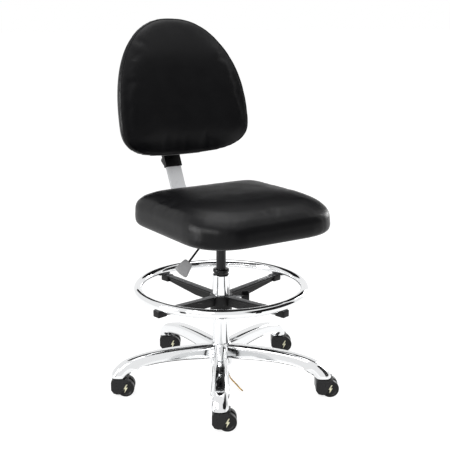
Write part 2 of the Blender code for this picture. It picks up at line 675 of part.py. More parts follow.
def build_lift(chair, chrome, black_steel, steel, plastic):
    rod_hole = ROD_DIAMETER / 2 + ROD_GAP
    rod = ROD_DIAMETER / 2
    column = turned([
        (COLUMN_RADIUS - 0.0005, COLUMN_TOP), (COLUMN_RADIUS, COLUMN_TOP - 0.0005),
        (COLUMN_RADIUS, COLUMN_BOTTOM), (rod_hole, COLUMN_BOTTOM),
        (rod_hole, COLUMN_BOTTOM + COLUMN_FLOOR), (COLUMN_BORE, COLUMN_BOTTOM + COLUMN_FLOOR),
        (COLUMN_BORE, COLUMN_TOP),
    ], 32)
    piece("outer_column", column, chrome, chair)

    flange_low = COLUMN_TOP + SEAT_GAP
    bush = turned([
        (COLLAR_RADIUS - 0.001, COLLAR_TOP), (COLLAR_RADIUS, COLLAR_TOP - 0.001),
        (COLLAR_RADIUS, flange_low), (COLUMN_BORE - SEAT_GAP, flange_low),
        (COLUMN_BORE - SEAT_GAP, COLUMN_TOP - COLLAR_REACH),
        (CYLINDER_RADIUS + SEAT_GAP, COLUMN_TOP - COLLAR_REACH), (CYLINDER_RADIUS + SEAT_GAP, COLLAR_TOP),
    ], 32)
    piece("column_collar", bush, plastic, chair)

    button_hole = BUTTON_DIAMETER / 2 + ROD_GAP
    cylinder = turned([
        (button_hole, CYLINDER_TOP), (CYLINDER_RADIUS - 0.0008, CYLINDER_TOP),
        (CYLINDER_RADIUS, CYLINDER_TOP - 0.030), (CYLINDER_RADIUS, CYLINDER_BOTTOM),
        (rod_hole, CYLINDER_BOTTOM), (rod_hole, CYLINDER_BOTTOM + CYLINDER_END),
        (CYLINDER_BORE, CYLINDER_BOTTOM + CYLINDER_END), (CYLINDER_BORE, CYLINDER_TOP - CYLINDER_END),
        (button_hole, CYLINDER_TOP - CYLINDER_END),
    ], 24)
    piece("gas_cylinder", cylinder, black_steel, chair)

    bearing_low = COLUMN_BOTTOM + COLUMN_FLOOR + SEAT_GAP
    shoulder = bearing_low + BEARING_HEIGHT + SEAT_GAP
    piston = CYLINDER_BORE - ROD_GAP
    piston_rod = turned([
        (0, ROD_TOP), (piston, ROD_TOP), (piston, ROD_TOP - PISTON_HEIGHT),
        (rod, ROD_TOP - PISTON_HEIGHT), (rod, shoulder + 0.004), (rod + 0.003, shoulder + 0.004),
        (rod + 0.003, shoulder), (rod, shoulder), (rod, COLUMN_BOTTOM - 0.0055),
        (rod - 0.001, COLUMN_BOTTOM - 0.0065), (0, COLUMN_BOTTOM - 0.0065),
    ], 24)
    piece("piston_rod", piston_rod, steel, chair)
    bearing = tube(COLUMN_BORE - 0.008, rod + SEAT_GAP, bearing_low, bearing_low + BEARING_HEIGHT, 24)
    piece("thrust_bearing", bearing, steel, chair)
    clip_top = COLUMN_BOTTOM - SEAT_GAP
    clip = tube(rod + 0.004, rod + SEAT_GAP, clip_top - CLIP_THICKNESS, clip_top, 24)
    piece("retaining_clip", clip, steel, chair)

    head_top = LEVER_LEVEL - LEVER_DIAMETER / 2 - SEAT_GAP
    head_low = head_top - BUTTON_HEAD_HEIGHT
    stop_top = CYLINDER_TOP - CYLINDER_END - SEAT_GAP
    pin = BUTTON_DIAMETER / 2
    head = BUTTON_HEAD_DIAMETER / 2
    button = turned([
        (0, head_top), (head - 0.001, head_top), (head, head_top - 0.001),
        (head, head_low), (pin, head_low), (pin, stop_top), (pin + 0.002, stop_top),
        (pin + 0.002, stop_top - 0.003), (0, stop_top - 0.003),
    ], 20)
    piece("release_button", button, steel, chair, (0, 0, head_low))


# Footring


def knob_mesh(radius, length, lobes=6, depth=0.0016):
    """A lobed hand knob that stands on Z from 0 to its length."""
    steps = lobes * 4
    rings = []
    for share, inset in ((0.0, 0.0030), (0.16, 0.0), (0.86, 0.0), (1.0, 0.0030)):
        ring = []
        for i in range(steps):
            angle = 2 * math.pi * i / steps
            grip = depth * (1 - math.cos(lobes * angle)) / 2
            reach = radius - inset - grip
            ring.append((reach * math.cos(angle), reach * math.sin(angle), share * length))
        rings.append(ring)
    return lofted(rings)


def bored_knob(radius, length):
    """A knob with a blind hole for its stud."""
    hole = tube(STUD_DIAMETER / 2 + SEAT_GAP, 0.0, -0.005, length * KNOB_BORE_SHARE, 20)
    return cut(knob_mesh(radius, length), hole)


def build_footring(chair, chrome, casting, plastic, steel):
    ring = hoop(RING_RADIUS, RING_HEIGHT, RING_TUBE_RADIUS, 12, 48)
    # The four screw holes open the tube's hollow
    ring = cut(ring, hoop(RING_RADIUS, RING_HEIGHT, RING_TUBE_RADIUS - RING_TUBE_WALL, 8, 48))
    spider = turned([
        (0, SPIDER_HUB_TOP), (SPIDER_HUB_RADIUS - 0.0015, SPIDER_HUB_TOP),
        (SPIDER_HUB_RADIUS, SPIDER_HUB_TOP - 0.0015), (SPIDER_HUB_RADIUS, SPIDER_HUB_TOP - SPOKE_DEPTH),
        (SPIDER_HUB_RADIUS - 0.002, SPIDER_HUB_BOTTOM), (0, SPIDER_HUB_BOTTOM),
    ], 32)
    pad_outer = RING_DIAMETER / 2 - PAD_SHORT
    pad_inner = pad_outer - PAD_LENGTH
    for number in range(SPOKE_COUNT):
        turn = facing(RING_TURN + number * 2 * math.pi / SPOKE_COUNT)
        spoke = lofted([
            spoke_ring(SPIDER_HUB_RADIUS / 2, SPIDER_HUB_TOP - 0.0008, SPOKE_DEPTH),
            spoke_ring(SPIDER_HUB_RADIUS + 0.070, SPIDER_HUB_TOP + 0.002, SPOKE_DEPTH),
            spoke_ring(pad_inner + 0.010, PAD_TOP - 0.001, SPOKE_END_DEPTH),
        ])
        pad = block((pad_inner, -PAD_WIDTH / 2, PAD_TOP - PAD_DEPTH), (pad_outer, PAD_WIDTH / 2, PAD_TOP))
        spider = joined(spider, placed(spoke, turn), placed(bevelled(pad, 0.002, 1), turn))
    bore = tube(COLLET_RADIUS + SEAT_GAP, 0.0, SPIDER_HUB_BOTTOM - 0.01, SPIDER_HUB_TOP + 0.01, 32)
    stud_hole = along_x(tube(STUD_DIAMETER / 2 + SEAT_GAP, 0.0, COLUMN_RADIUS, RING_KNOB_START, 20))
    stud_hole = placed(stud_hole, Matrix.Translation((0, 0, RING_KNOB_LEVEL)))
    spider = cut(spider, bore, placed(stud_hole, facing(KNOB_TURN)))

    screw_top = RING_HEIGHT - RING_TUBE_RADIUS + RING_SCREW_REACH
    pad_low = PAD_TOP - PAD_DEPTH
    for number in range(SPOKE_COUNT):
        angle = RING_TURN + number * 2 * math.pi / SPOKE_COUNT
        spot = Matrix.Translation(outward(angle) * RING_RADIUS)
        hole = tube(RING_SCREW_DIAMETER / 2 + SEAT_GAP, 0.0, pad_low - 0.005, screw_top + SEAT_GAP, 16)
        spider = cut(spider, placed(hole.copy(), spot))
        ring = cut(ring, placed(hole, spot))
        head_top = pad_low - SEAT_GAP
        screw = turned([
            (0, screw_top), (RING_SCREW_DIAMETER / 2, screw_top), (RING_SCREW_DIAMETER / 2, head_top),
            (RING_SCREW_HEAD_DIAMETER / 2, head_top),
            (RING_SCREW_HEAD_DIAMETER / 2 - 0.001, head_top - RING_SCREW_HEAD_HEIGHT),
            (0, head_top - RING_SCREW_HEAD_HEIGHT),
        ], 16)
        piece(f"ring_screw_{number + 1}", placed(screw, spot), steel, chair)
    piece("footring_tube", ring, chrome, chair)
    piece("footring_spider", spider, casting, chair)

    collet = tube(COLLET_RADIUS, COLUMN_RADIUS + SEAT_GAP, SPIDER_HUB_BOTTOM, SPIDER_HUB_TOP + SEAT_GAP)
    piece("ring_collet", collet, plastic, chair)

    knob_axis = outward(KNOB_TURN) * RING_KNOB_START + Vector((0, 0, RING_KNOB_LEVEL))
    stand = Matrix.Translation(knob_axis) @ facing(KNOB_TURN) @ Matrix.Rotation(math.pi / 2, 4, "Y")
    knob = placed(bored_knob(RING_KNOB_RADIUS, RING_KNOB_LENGTH), stand)
    piece("ring_knob", knob, plastic, chair, knob_axis)
    stud_start = COLLET_RADIUS + SEAT_GAP - RING_KNOB_START
    stud = tube(STUD_DIAMETER / 2, 0.0, stud_start, RING_KNOB_LENGTH * KNOB_BORE_SHARE - SEAT_GAP, 20)
    piece("ring_knob_stud", placed(stud, stand), steel, chair, knob_axis)


def spoke_ring(reach, top, depth):
    """A section across a spoke, wider at the top."""
    upper = SPOKE_TOP_WIDTH / 2
    lower = SPOKE_FOOT_WIDTH / 2
    flange = 0.005
    half_ring = [
        (upper - 0.001, 0.0), (upper, 0.001), (upper, flange), (lower, flange + 0.003), (lower, depth),
    ]
    right = [Vector((reach, across, top - down)) for across, down in half_ring]
    left = [Vector((reach, -across, top - down)) for across, down in reversed(half_ring)]
    return right + left


# Seat


def seat_outline(inset, steps=8):
    """The seat seen from above, as (x, y) points: rounded corners and a bowed front."""
    front = SEAT_CENTRE_Y - SEAT_DEPTH / 2 + inset
    rear = SEAT_CENTRE_Y + SEAT_DEPTH / 2 - inset
    wide = SEAT_FRONT_WIDTH / 2 - inset
    narrow = SEAT_REAR_WIDTH / 2 - inset
    corners = [(-wide, front), (wide, front), (narrow, rear), (-narrow, rear)]
    points = []
    for i, corner in enumerate(corners):
        here = Vector(corner)
        before = Vector(corners[i - 1])
        after = Vector(corners[(i + 1) % 4])
        reach = SEAT_FRONT_CORNER if here.y < SEAT_CENTRE_Y else SEAT_REAR_CORNER
        start = here + (before - here).normalized() * reach
        end = here + (after - here).normalized() * reach
        for step in range(steps + 1):
            share = step / steps
            points.append(start.lerp(here, share).lerp(here.lerp(end, share), share))
    bowed = []
    for point in points:
        ahead = max(0.0, (SEAT_CENTRE_Y - point.y) / (SEAT_DEPTH / 2))
        bow = SEAT_FRONT_BULGE * ahead**2 * (1 - (point.x / wide) ** 2)
        bowed.append((point.x, point.y - bow))
    return bowed


def pad_rings(outline_at, levels, place):
    """Rings for a pad from (inset, share of the inset outline, level), each point put by place."""
    return [
        [place(point, share, level) for point in outline_at(inset)]
        for inset, share, level in levels
    ]


def seat_point(point, share, level):
    """A cushion point: shrunk towards the seat's middle, and let down towards the front edge."""
    x = point[0] * share
    y = SEAT_CENTRE_Y + (point[1] - SEAT_CENTRE_Y) * share
    ahead = max(0.0, (SEAT_CENTRE_Y - 0.02 - y) / (SEAT_DEPTH / 2))
    height = (level - CUSHION_BOTTOM) / SEAT_THICKNESS
    return Vector((x, y, level - SEAT_FRONT_DROP * ahead**2 * max(0.0, height)))


def build_seat(chair, vinyl, plywood, black_steel, steel):
    cushion = lofted(pad_rings(seat_outline, [
        (0.012, 0.5, CUSHION_BOTTOM), (0.012, 1.0, CUSHION_BOTTOM), (0.003, 1.0, CUSHION_BOTTOM + 0.009),
        (0.0, 1.0, CUSHION_BOTTOM + 0.024), (0.0, 1.0, SEAT_TOP - 0.040), (0.005, 1.0, SEAT_TOP - 0.026),
        (0.018, 1.0, SEAT_TOP - 0.013), (0.045, 1.0, SEAT_TOP - 0.005), (0.045, 0.6, SEAT_TOP - 0.001),
        (0.045, 0.25, SEAT_TOP),
    ], seat_point))
    piece("seat_cushion", cushion, vinyl, chair)
    board = lofted(pad_rings(seat_outline, [
        (BOARD_INSET, BOARD_INNER_SHARE, BOARD_BOTTOM), (BOARD_INSET, 1.0, BOARD_BOTTOM),
        (BOARD_INSET, 1.0, BOARD_TOP), (BOARD_INSET, BOARD_INNER_SHARE, BOARD_TOP),
    ], seat_point))
    piece("seat_board", board, plywood, chair)

    half = PLATE_WIDTH / 2
    plate = block((-half, PLATE_FRONT, PLATE_BOTTOM), (half, PLATE_REAR, PLATE_TOP))
    boss = tube(BOSS_RADIUS, 0.0, PLATE_BOTTOM - BOSS_DEPTH, PLATE_BOTTOM + 0.001, 32)
    channel_half = BAR_WIDTH / 2 + SEAT_GAP + CHANNEL_WALL
    channel = block((-channel_half, CHANNEL_FRONT, CHANNEL_FLOOR - CHANNEL_WALL),
                    (channel_half, PLATE_REAR - 0.002, PLATE_BOTTOM + 0.001))
    barrel_half = LEVER_BARREL_LENGTH / 2 + SEAT_GAP
    mechanism = joined(plate, boss, channel)
    for sign in (-1, 1):
        low_y, high_y = sorted((sign * barrel_half, sign * (barrel_half + LUG_THICKNESS)))
        lug = block((LEVER_PIVOT_X - 0.007, low_y, LEVER_LEVEL - 0.008),
                    (-BOSS_RADIUS + 0.008, high_y, PLATE_BOTTOM + 0.001))
        mechanism = joined(mechanism, lug)
    bar_tunnel = block((-channel_half + CHANNEL_WALL, CHANNEL_FRONT - 0.01, CHANNEL_FLOOR),
                       (channel_half - CHANNEL_WALL, PLATE_REAR + 0.01, PLATE_BOTTOM))
    below_boss = PLATE_BOTTOM - BOSS_DEPTH - 0.01
    cylinder_bore = tube(CYLINDER_RADIUS + SEAT_GAP, 0.0, below_boss, PLATE_BOTTOM, 32)
    finger_slot = block((LEVER_PIVOT_X - 0.010, -barrel_half, CYLINDER_TOP - 0.006),
                        (0.0, barrel_half, PLATE_BOTTOM))
    pin_hole = along_y(tube(LEVER_PIN_DIAMETER / 2 + SEAT_GAP, 0.0, -0.03, 0.03, 16))
    pin_hole = placed(pin_hole, Matrix.Translation((LEVER_PIVOT_X, 0, LEVER_LEVEL)))
    knob_hole = tube(STUD_DIAMETER / 2 + SEAT_GAP, 0.0, CHANNEL_FLOOR - 0.01, CHANNEL_FLOOR + 0.001, 20)
    knob_hole = placed(knob_hole, Matrix.Translation((0, DEPTH_KNOB_Y, 0)))
    mechanism = cut(mechanism, bar_tunnel, cylinder_bore, finger_slot, pin_hole, knob_hole)
    piece("seat_mechanism", mechanism, black_steel, chair)

    pin_half = barrel_half + LUG_THICKNESS + 0.0015
    pin = along_y(tube(LEVER_PIN_DIAMETER / 2, 0.0, -pin_half, pin_half, 16))
    pin = placed(pin, Matrix.Translation((LEVER_PIVOT_X, 0, LEVER_LEVEL)))
    piece("lever_pin", pin, steel, chair)


# Height lever


def build_lever(chair, black_steel, grey_plastic):
    pivot = Vector((LEVER_PIVOT_X, 0, LEVER_LEVEL))
    slope = Vector((-math.cos(LEVER_SLOPE), 0, -math.sin(LEVER_SLOPE)))
    path = rounded_path(
        [(0.004, LEVER_LEVEL), (LEVER_PIVOT_X, LEVER_LEVEL),
         (LEVER_PIVOT_X + slope.x * LEVER_ROD_LENGTH, LEVER_LEVEL + slope.z * LEVER_ROD_LENGTH)],
        [0.010], 5,
    )
    rod = baked(linked(wire([(x, 0, z) for x, z in path], LEVER_DIAMETER)))
    barrel = along_y(tube(LEVER_BARREL_RADIUS, 0.0, -LEVER_BARREL_LENGTH / 2, LEVER_BARREL_LENGTH / 2, 20))
    hole = along_y(tube(LEVER_PIN_DIAMETER / 2 + SEAT_GAP, 0.0, -0.02, 0.02, 16))
    spot = Matrix.Translation(pivot)
    lever = cut(joined(rod, placed(barrel, spot)), placed(hole, spot))
    piece("height_lever", lever, black_steel, chair, pivot)

    # The paddle lies along the rod: +X runs out along it, +Y across it
    neck = LEVER_ROD_LENGTH - PADDLE_SOCKET
    far = neck + PADDLE_LENGTH
    outline = [
        (neck, -PADDLE_NECK_WIDTH / 2 + 0.004), (neck + 0.004, -PADDLE_NECK_WIDTH / 2),
        (far - 0.004, -PADDLE_END_WIDTH / 2), (far, -PADDLE_END_WIDTH / 2 + 0.005),
        (far + 0.002, 0.0), (far, PADDLE_END_WIDTH / 2 - 0.005), (far - 0.004, PADDLE_END_WIDTH / 2),
        (neck + 0.004, PADDLE_NECK_WIDTH / 2), (neck, PADDLE_NECK_WIDTH / 2 - 0.004),
    ]
    paddle = bevelled(prism(outline, -PADDLE_THICKNESS / 2, PADDLE_THICKNESS / 2), 0.0028)
    socket = along_x(tube(LEVER_DIAMETER / 2 + SEAT_GAP, 0.0, neck - 0.01, LEVER_ROD_LENGTH + SEAT_GAP, 16))
    paddle = cut(paddle, socket)
    stand = spot @ Matrix.Rotation(math.pi - LEVER_SLOPE, 4, "Y") @ Matrix.Rotation(math.pi / 2, 4, "X")
    piece("lever_paddle", placed(paddle, stand), grey_plastic, chair, pivot)


# Upright


def bar_path():
    """The middle of the flat bar, in the (y, z) plane, from its end in the channel to its top."""
    drop = BAR_KNEE_Z - BAR_LEVEL
    foot = (BAR_KNEE_Y - drop * math.tan(BAR_LOWER_RAKE), BAR_LEVEL)
    top = BAR_KNEE + BAR_UP * BAR_TOP_LENGTH
    corners = [(BAR_FRONT, BAR_LEVEL), foot, (BAR_KNEE_Y, BAR_KNEE_Z), (top.y, top.z)]
    return rounded_path(corners, [BAR_FOOT_RADIUS, BAR_KNEE_RADIUS])


def upright_axes():
    """Turns a piece built on X and Y, with Z across, into the chair's (y, z) plane and X."""
    return Matrix(((0, 0, 1, 0), (1, 0, 0, 0), (0, 1, 0, 0), (0, 0, 0, 1)))


def build_upright(chair, grey_paint):
    path = bar_path()
    outline = offset_path(path, BAR_THICKNESS / 2) + list(reversed(offset_path(path, -BAR_THICKNESS / 2)))
    bar = placed(prism(outline, -BAR_WIDTH / 2, BAR_WIDTH / 2), upright_axes())
    piece("back_upright", bevelled(bar, 0.0012, 1), grey_paint, chair)


def clamp_knob(name, chair, plastic, steel, face, direction, reach):
    """A hand knob on a stud. Its stud ends at face, and the knob starts reach out along direction."""
    origin = Vector(face) + Vector(direction) * reach
    turn = Vector((0, 0, 1)).rotation_difference(Vector(direction))
    stand = Matrix.Translation(origin) @ turn.to_matrix().to_4x4()
    piece(name, placed(bored_knob(KNOB_RADIUS, KNOB_LENGTH), stand), plastic, chair, origin)
    stud = tube(STUD_DIAMETER / 2, 0.0, -reach, KNOB_LENGTH * KNOB_BORE_SHARE - SEAT_GAP, 20)
    piece(f"{name}_stud", placed(stud, stand.copy()), steel, chair, origin)


# Backrest


def back_outline(inset, steps=11):
    """The back seen from the front, as (x, up) points: wide and square below, round above."""
    low = BACK_WIDEST * BACK_HEIGHT
    high = BACK_HEIGHT - low
    right = []
    for i in range(steps):
        lift = math.sin(math.pi / 2 * i / steps)
        right.append((1 - lift**BACK_LOWER_POWER, low - low * lift, BACK_LOWER_POWER))
    below = [((spread ** (1 / power)), up) for spread, up, power in reversed(right)]
    above = []
    for i in range(1, steps + 1):
        lift = math.sin(math.pi / 2 * i / steps)
        above.append((max(0.0, 1 - lift**BACK_UPPER_POWER) ** (1 / BACK_UPPER_POWER), low + high * lift))
    half = [(0.0, 0.0)] + below + above
    middle = BACK_HEIGHT / 2
    shrink_x = 1 - inset / BACK_HALF_WIDTH
    shrink_z = 1 - inset / middle
    right_side = [
        (spread * BACK_HALF_WIDTH * shrink_x, middle + (up - middle) * shrink_z) for spread, up in half
    ]
    left_side = [(-x, up) for x, up in reversed(right_side[1:-1])]
    return right_side + left_side


def back_point(point, share, level):
    """A point of the back: level is how far in front of the back's rear face it lies."""
    middle = BACK_HEIGHT * 0.46
    x = point[0] * share
    up = middle + (point[1] - middle) * share
    out = -level - BACK_WRAP * (x / 0.2) ** 2
    y = out * math.cos(BACK_TILT) + up * math.sin(BACK_TILT)
    z = -out * math.sin(BACK_TILT) + up * math.cos(BACK_TILT)
    return Vector((x, BACK_BOTTOM_Y + y, BACK_BOTTOM_Z + z))


def back_slab(front, rear):
    """A curved slab of the shell's outline, between two levels. Slabs have matching facets."""
    faces = [(BACK_BOARD_INSET, share, front) for share in BACK_SHARES]
    faces += [(BACK_BOARD_INSET, share, rear) for share in reversed(BACK_SHARES)]
    return lofted(pad_rings(back_outline, faces, back_point))


def build_backrest(chair, vinyl, shell, black_steel):
    board = back_slab(BACK_BOARD_THICKNESS, 0.0)
    rear = BACK_BOARD_THICKNESS + SEAT_GAP
    cushion = lofted(pad_rings(
        back_outline,
        [(BACK_BOARD_INSET, share, rear) for share in BACK_SHARES] + [
            (0.001, 1.0, rear + 0.001), (0.0, 1.0, BACK_BOXING), (0.005, 1.0, BACK_BOXING + 0.010),
            (0.016, 1.0, BACK_THICKNESS - 0.012), (0.036, 1.0, BACK_THICKNESS - 0.005),
            (0.036, 0.7, BACK_THICKNESS - 0.001), (0.036, 0.3, BACK_THICKNESS),
            (0.036, 0.02, BACK_THICKNESS),
        ],
        back_point,
    ))
    piece("back_cushion", cushion, vinyl, chair)

    # The sleeve is built on Z along the bar, X across it and Y behind it, then leant to the bar's rake
    low = SLEEVE_START
    high = low + SLEEVE_LENGTH
    hollow_x = BAR_WIDTH / 2 + SEAT_GAP
    hollow_y = BAR_THICKNESS / 2 + SEAT_GAP
    sleeve = block((-hollow_x - SLEEVE_WALL, -hollow_y - SLEEVE_WALL, low),
                   (hollow_x + SLEEVE_WALL, hollow_y + SLEEVE_WALL, high))
    sleeve = bevelled(sleeve, 0.0012, 1)
    nut = tube(NUT_RADIUS, 0.0, 0.0, NUT_HEIGHT, 24)
    stand = Matrix.Translation((0, hollow_y + SLEEVE_WALL - 0.0005, low + BACK_KNOB_UP))
    nut = placed(nut, stand @ Matrix.Rotation(-math.pi / 2, 4, "X"))
    arm = block((-BRACKET_WIDTH / 2, -hollow_y - BRACKET_REACH, low + BRACKET_LOW),
                (BRACKET_WIDTH / 2, -hollow_y - SLEEVE_WALL / 2, low + BRACKET_HIGH))
    leant = Matrix.Translation(BAR_KNEE) @ Matrix.Rotation(-BAR_RAKE, 4, "X")
    body = placed(joined(sleeve, nut, arm), leant)

    # The bracket's end is trimmed to the shell, and the tunnel and the stud's hole come last
    trim = back_slab(BRACKET_REACH + BACK_THICKNESS, -SEAT_GAP)
    tunnel = placed(block((-hollow_x, -hollow_y, low - 0.02), (hollow_x, hollow_y, high + 0.02)), leant)
    stud_hole = tube(STUD_DIAMETER / 2 + SEAT_GAP, 0.0, 0.0, 0.03, 20)
    stand = Matrix.Translation((0, 0, low + BACK_KNOB_UP)) @ Matrix.Rotation(-math.pi / 2, 4, "X")
    stud_hole = placed(stud_hole, leant @ stand)
    piece("back_sleeve", cut(body, trim, tunnel, stud_hole), black_steel, chair)
    piece("back_board", board, shell, chair)


# Drag chain


def build_chain(chair, brass, steel):
    ring_z = HUB_BOTTOM - 0.0020 - EYE_RING_RADIUS - EYE_WIRE_DIAMETER / 2
    shank = tube(EYE_SHANK_DIAMETER / 2, 0.0, ring_z + EYE_RING_RADIUS, HUB_BOTTOM + EYE_SHANK_LENGTH, 12)
    loop = hoop(EYE_RING_RADIUS, 0, EYE_WIRE_DIAMETER / 2, 8, 20)
    loop = placed(loop, Matrix.Translation((0, 0, ring_z)) @ Matrix.Rotation(math.pi / 2, 4, "X"))
    spot = eye_spot()
    eye = placed(joined(shank, loop), Matrix.Translation(spot))
    piece("chain_screw_eye", eye, steel, chair)
    route = [spot + Vector(point) for point in CHAIN_ROUTE]
    curve = wire(smooth_route(route, CHAIN_POINTS), CHAIN_DIAMETER)
    shared_piece("drag_chain", curve, brass, chair)


def smooth_route(route, count):
    """Evenly numbered points of a smooth curve through the route's own points."""
    ends = [2 * route[0] - route[1]] + route + [2 * route[-1] - route[-2]]
    smooth = []
    for i in range(count):
        place = (len(route) - 1) * i / (count - 1)
        leg = min(int(place), len(route) - 2)
        t = place - leg
        a, b, c, d = ends[leg : leg + 4]
        slope = c - a
        bend = 2 * a - 5 * b + 4 * c - d
        twist = 3 * b - 3 * c + d - a
        smooth.append(0.5 * (2 * b + slope * t + bend * t**2 + twist * t**3))
    return smooth


def main():
    for obj in list(bpy.data.objects):
        bpy.data.objects.remove(obj, do_unlink=True)

    chrome = finish("chrome", (0.82, 0.82, 0.83), 0.06, 1.0)
    aluminium = finish("polished aluminium", (0.84, 0.84, 0.85), 0.12, 1.0)
    steel = finish("zinc-plated steel", (0.55, 0.55, 0.56), 0.30, 1.0)
    black_steel = finish("black painted steel", (0.012, 0.012, 0.013), 0.42)
    casting = finish("black painted casting", (0.020, 0.020, 0.022), 0.45)
    nylon = finish("charcoal nylon", (0.030, 0.030, 0.032), 0.45)
    tread = finish("conductive wheel", (0.025, 0.025, 0.027), 0.50)
    plastic = finish("black plastic", (0.015, 0.015, 0.016), 0.40)
    grey_plastic = finish("grey plastic", (0.27, 0.27, 0.27), 0.45)
    grey_paint = finish("light grey paint", (0.66, 0.66, 0.66), 0.35)
    vinyl = finish("black vinyl", (0.008, 0.008, 0.009), 0.38)
    plywood = finish("plywood", (0.45, 0.32, 0.20), 0.60)
    brass = finish("brass", (0.55, 0.40, 0.16), 0.30, 1.0)

    chair = empty("swivel_axis", None, (AXIS_X, AXIS_Y, 0))
    build_casters(chair, steel, nylon, tread)
    build_base(chair, aluminium)
    build_lift(chair, chrome, black_steel, steel, plastic)
    build_footring(chair, chrome, casting, plastic, steel)
    build_seat(chair, vinyl, plywood, black_steel, steel)
    build_lever(chair, black_steel, grey_plastic)
    build_upright(chair, grey_paint)
    bar_underside = (0, DEPTH_KNOB_Y, BAR_LEVEL - BAR_THICKNESS / 2 - SEAT_GAP)
    clamp_knob("depth_knob", chair, plastic, steel, bar_underside, (0, 0, -1), CHANNEL_WALL + KNOB_NECK)
    build_backrest(chair, vinyl, plastic, black_steel)
    bar_rear = BAR_KNEE + BAR_UP * (SLEEVE_START + BACK_KNOB_UP) + BAR_BACK * (BAR_THICKNESS / 2 + SEAT_GAP)
    clamp_knob("back_knob", chair, plastic, steel, bar_rear, BAR_BACK, SLEEVE_WALL + NUT_HEIGHT + KNOB_NECK)
    build_chain(chair, brass, steel)


main()
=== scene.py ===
"""Visual model of a drafting chair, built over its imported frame.

Metres, +Z up, the sitter faces -Y. Each sub-assembly is a class, and each finish is a frozen dataclass.
"""

from __future__ import annotations

import json
import logging
import math
from collections.abc import Callable, Iterable, Sequence
from dataclasses import dataclass
from enum import Enum
from functools import cached_property

import bmesh
import bpy
from mathutils import Matrix, Vector
from mathutils.bvhtree import BVHTree


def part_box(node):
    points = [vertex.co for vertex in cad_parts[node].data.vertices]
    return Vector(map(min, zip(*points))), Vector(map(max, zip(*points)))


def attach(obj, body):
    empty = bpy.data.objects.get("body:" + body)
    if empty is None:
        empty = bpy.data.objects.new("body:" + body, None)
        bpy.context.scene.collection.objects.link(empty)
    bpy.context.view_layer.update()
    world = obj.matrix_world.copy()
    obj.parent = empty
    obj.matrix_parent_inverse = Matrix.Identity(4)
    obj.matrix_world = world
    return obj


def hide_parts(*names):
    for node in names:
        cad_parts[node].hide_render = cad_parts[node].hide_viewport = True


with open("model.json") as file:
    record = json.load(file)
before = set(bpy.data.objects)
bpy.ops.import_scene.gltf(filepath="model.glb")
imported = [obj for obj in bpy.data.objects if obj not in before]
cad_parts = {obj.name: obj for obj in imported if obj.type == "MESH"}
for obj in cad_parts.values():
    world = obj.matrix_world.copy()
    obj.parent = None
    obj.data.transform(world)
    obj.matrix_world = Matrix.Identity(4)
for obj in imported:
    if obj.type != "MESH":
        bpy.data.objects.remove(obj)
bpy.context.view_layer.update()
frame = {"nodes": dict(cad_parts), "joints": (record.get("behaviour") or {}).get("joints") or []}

log = logging.getLogger("drafting_chair")

Point = Sequence[float]
Colour = tuple[float, float, float, float]


class Body(Enum):
    """The moving bodies that pieces ride on, casters apart."""

    BASE = "base"
    FOOTRING = "footring"
    RING_CLAMP = "ring_clamp"
    SEAT = "seat"
    SEAT_CLAMP = "seat_clamp"
    LEVER = "lever"
    BACK_ARM = "back_arm"
    BACKREST = "backrest"
    BACK_CLAMP = "back_clamp"


# Shader and geometry nodes


def srgb(code: str) -> Colour:
    """Turns an sRGB hex colour into linear light.

    Args:
        code: six hex digits after a hash.

    Returns:
        Red, green, blue and an alpha of 1.
    """
    parts = [int(code[i : i + 2], 16) / 255 for i in (1, 3, 5)]
    linear = [c / 12.92 if c <= 0.04045 else ((c + 0.055) / 1.055) ** 2.4 for c in parts]
    return (linear[0], linear[1], linear[2], 1.0)


def add_node(tree: bpy.types.NodeTree, kind: str, inputs: dict | None = None, **settings: object) -> bpy.types.Node:
    """Adds a node with its settings and links.

    Args:
        tree: the tree that it joins.
        kind: the node's class name.
        inputs: socket name or number, to a constant or to the output socket that feeds it.
        settings: the node's own attributes.

    Returns:
        The new node.
    """
    node = tree.nodes.new(kind)
    for name, value in settings.items():
        setattr(node, name, value)
    for key, value in (inputs or {}).items():
        if isinstance(value, bpy.types.NodeSocket):
            tree.links.new(value, node.inputs[key])
        else:
            node.inputs[key].default_value = value
    return node


# Finishes


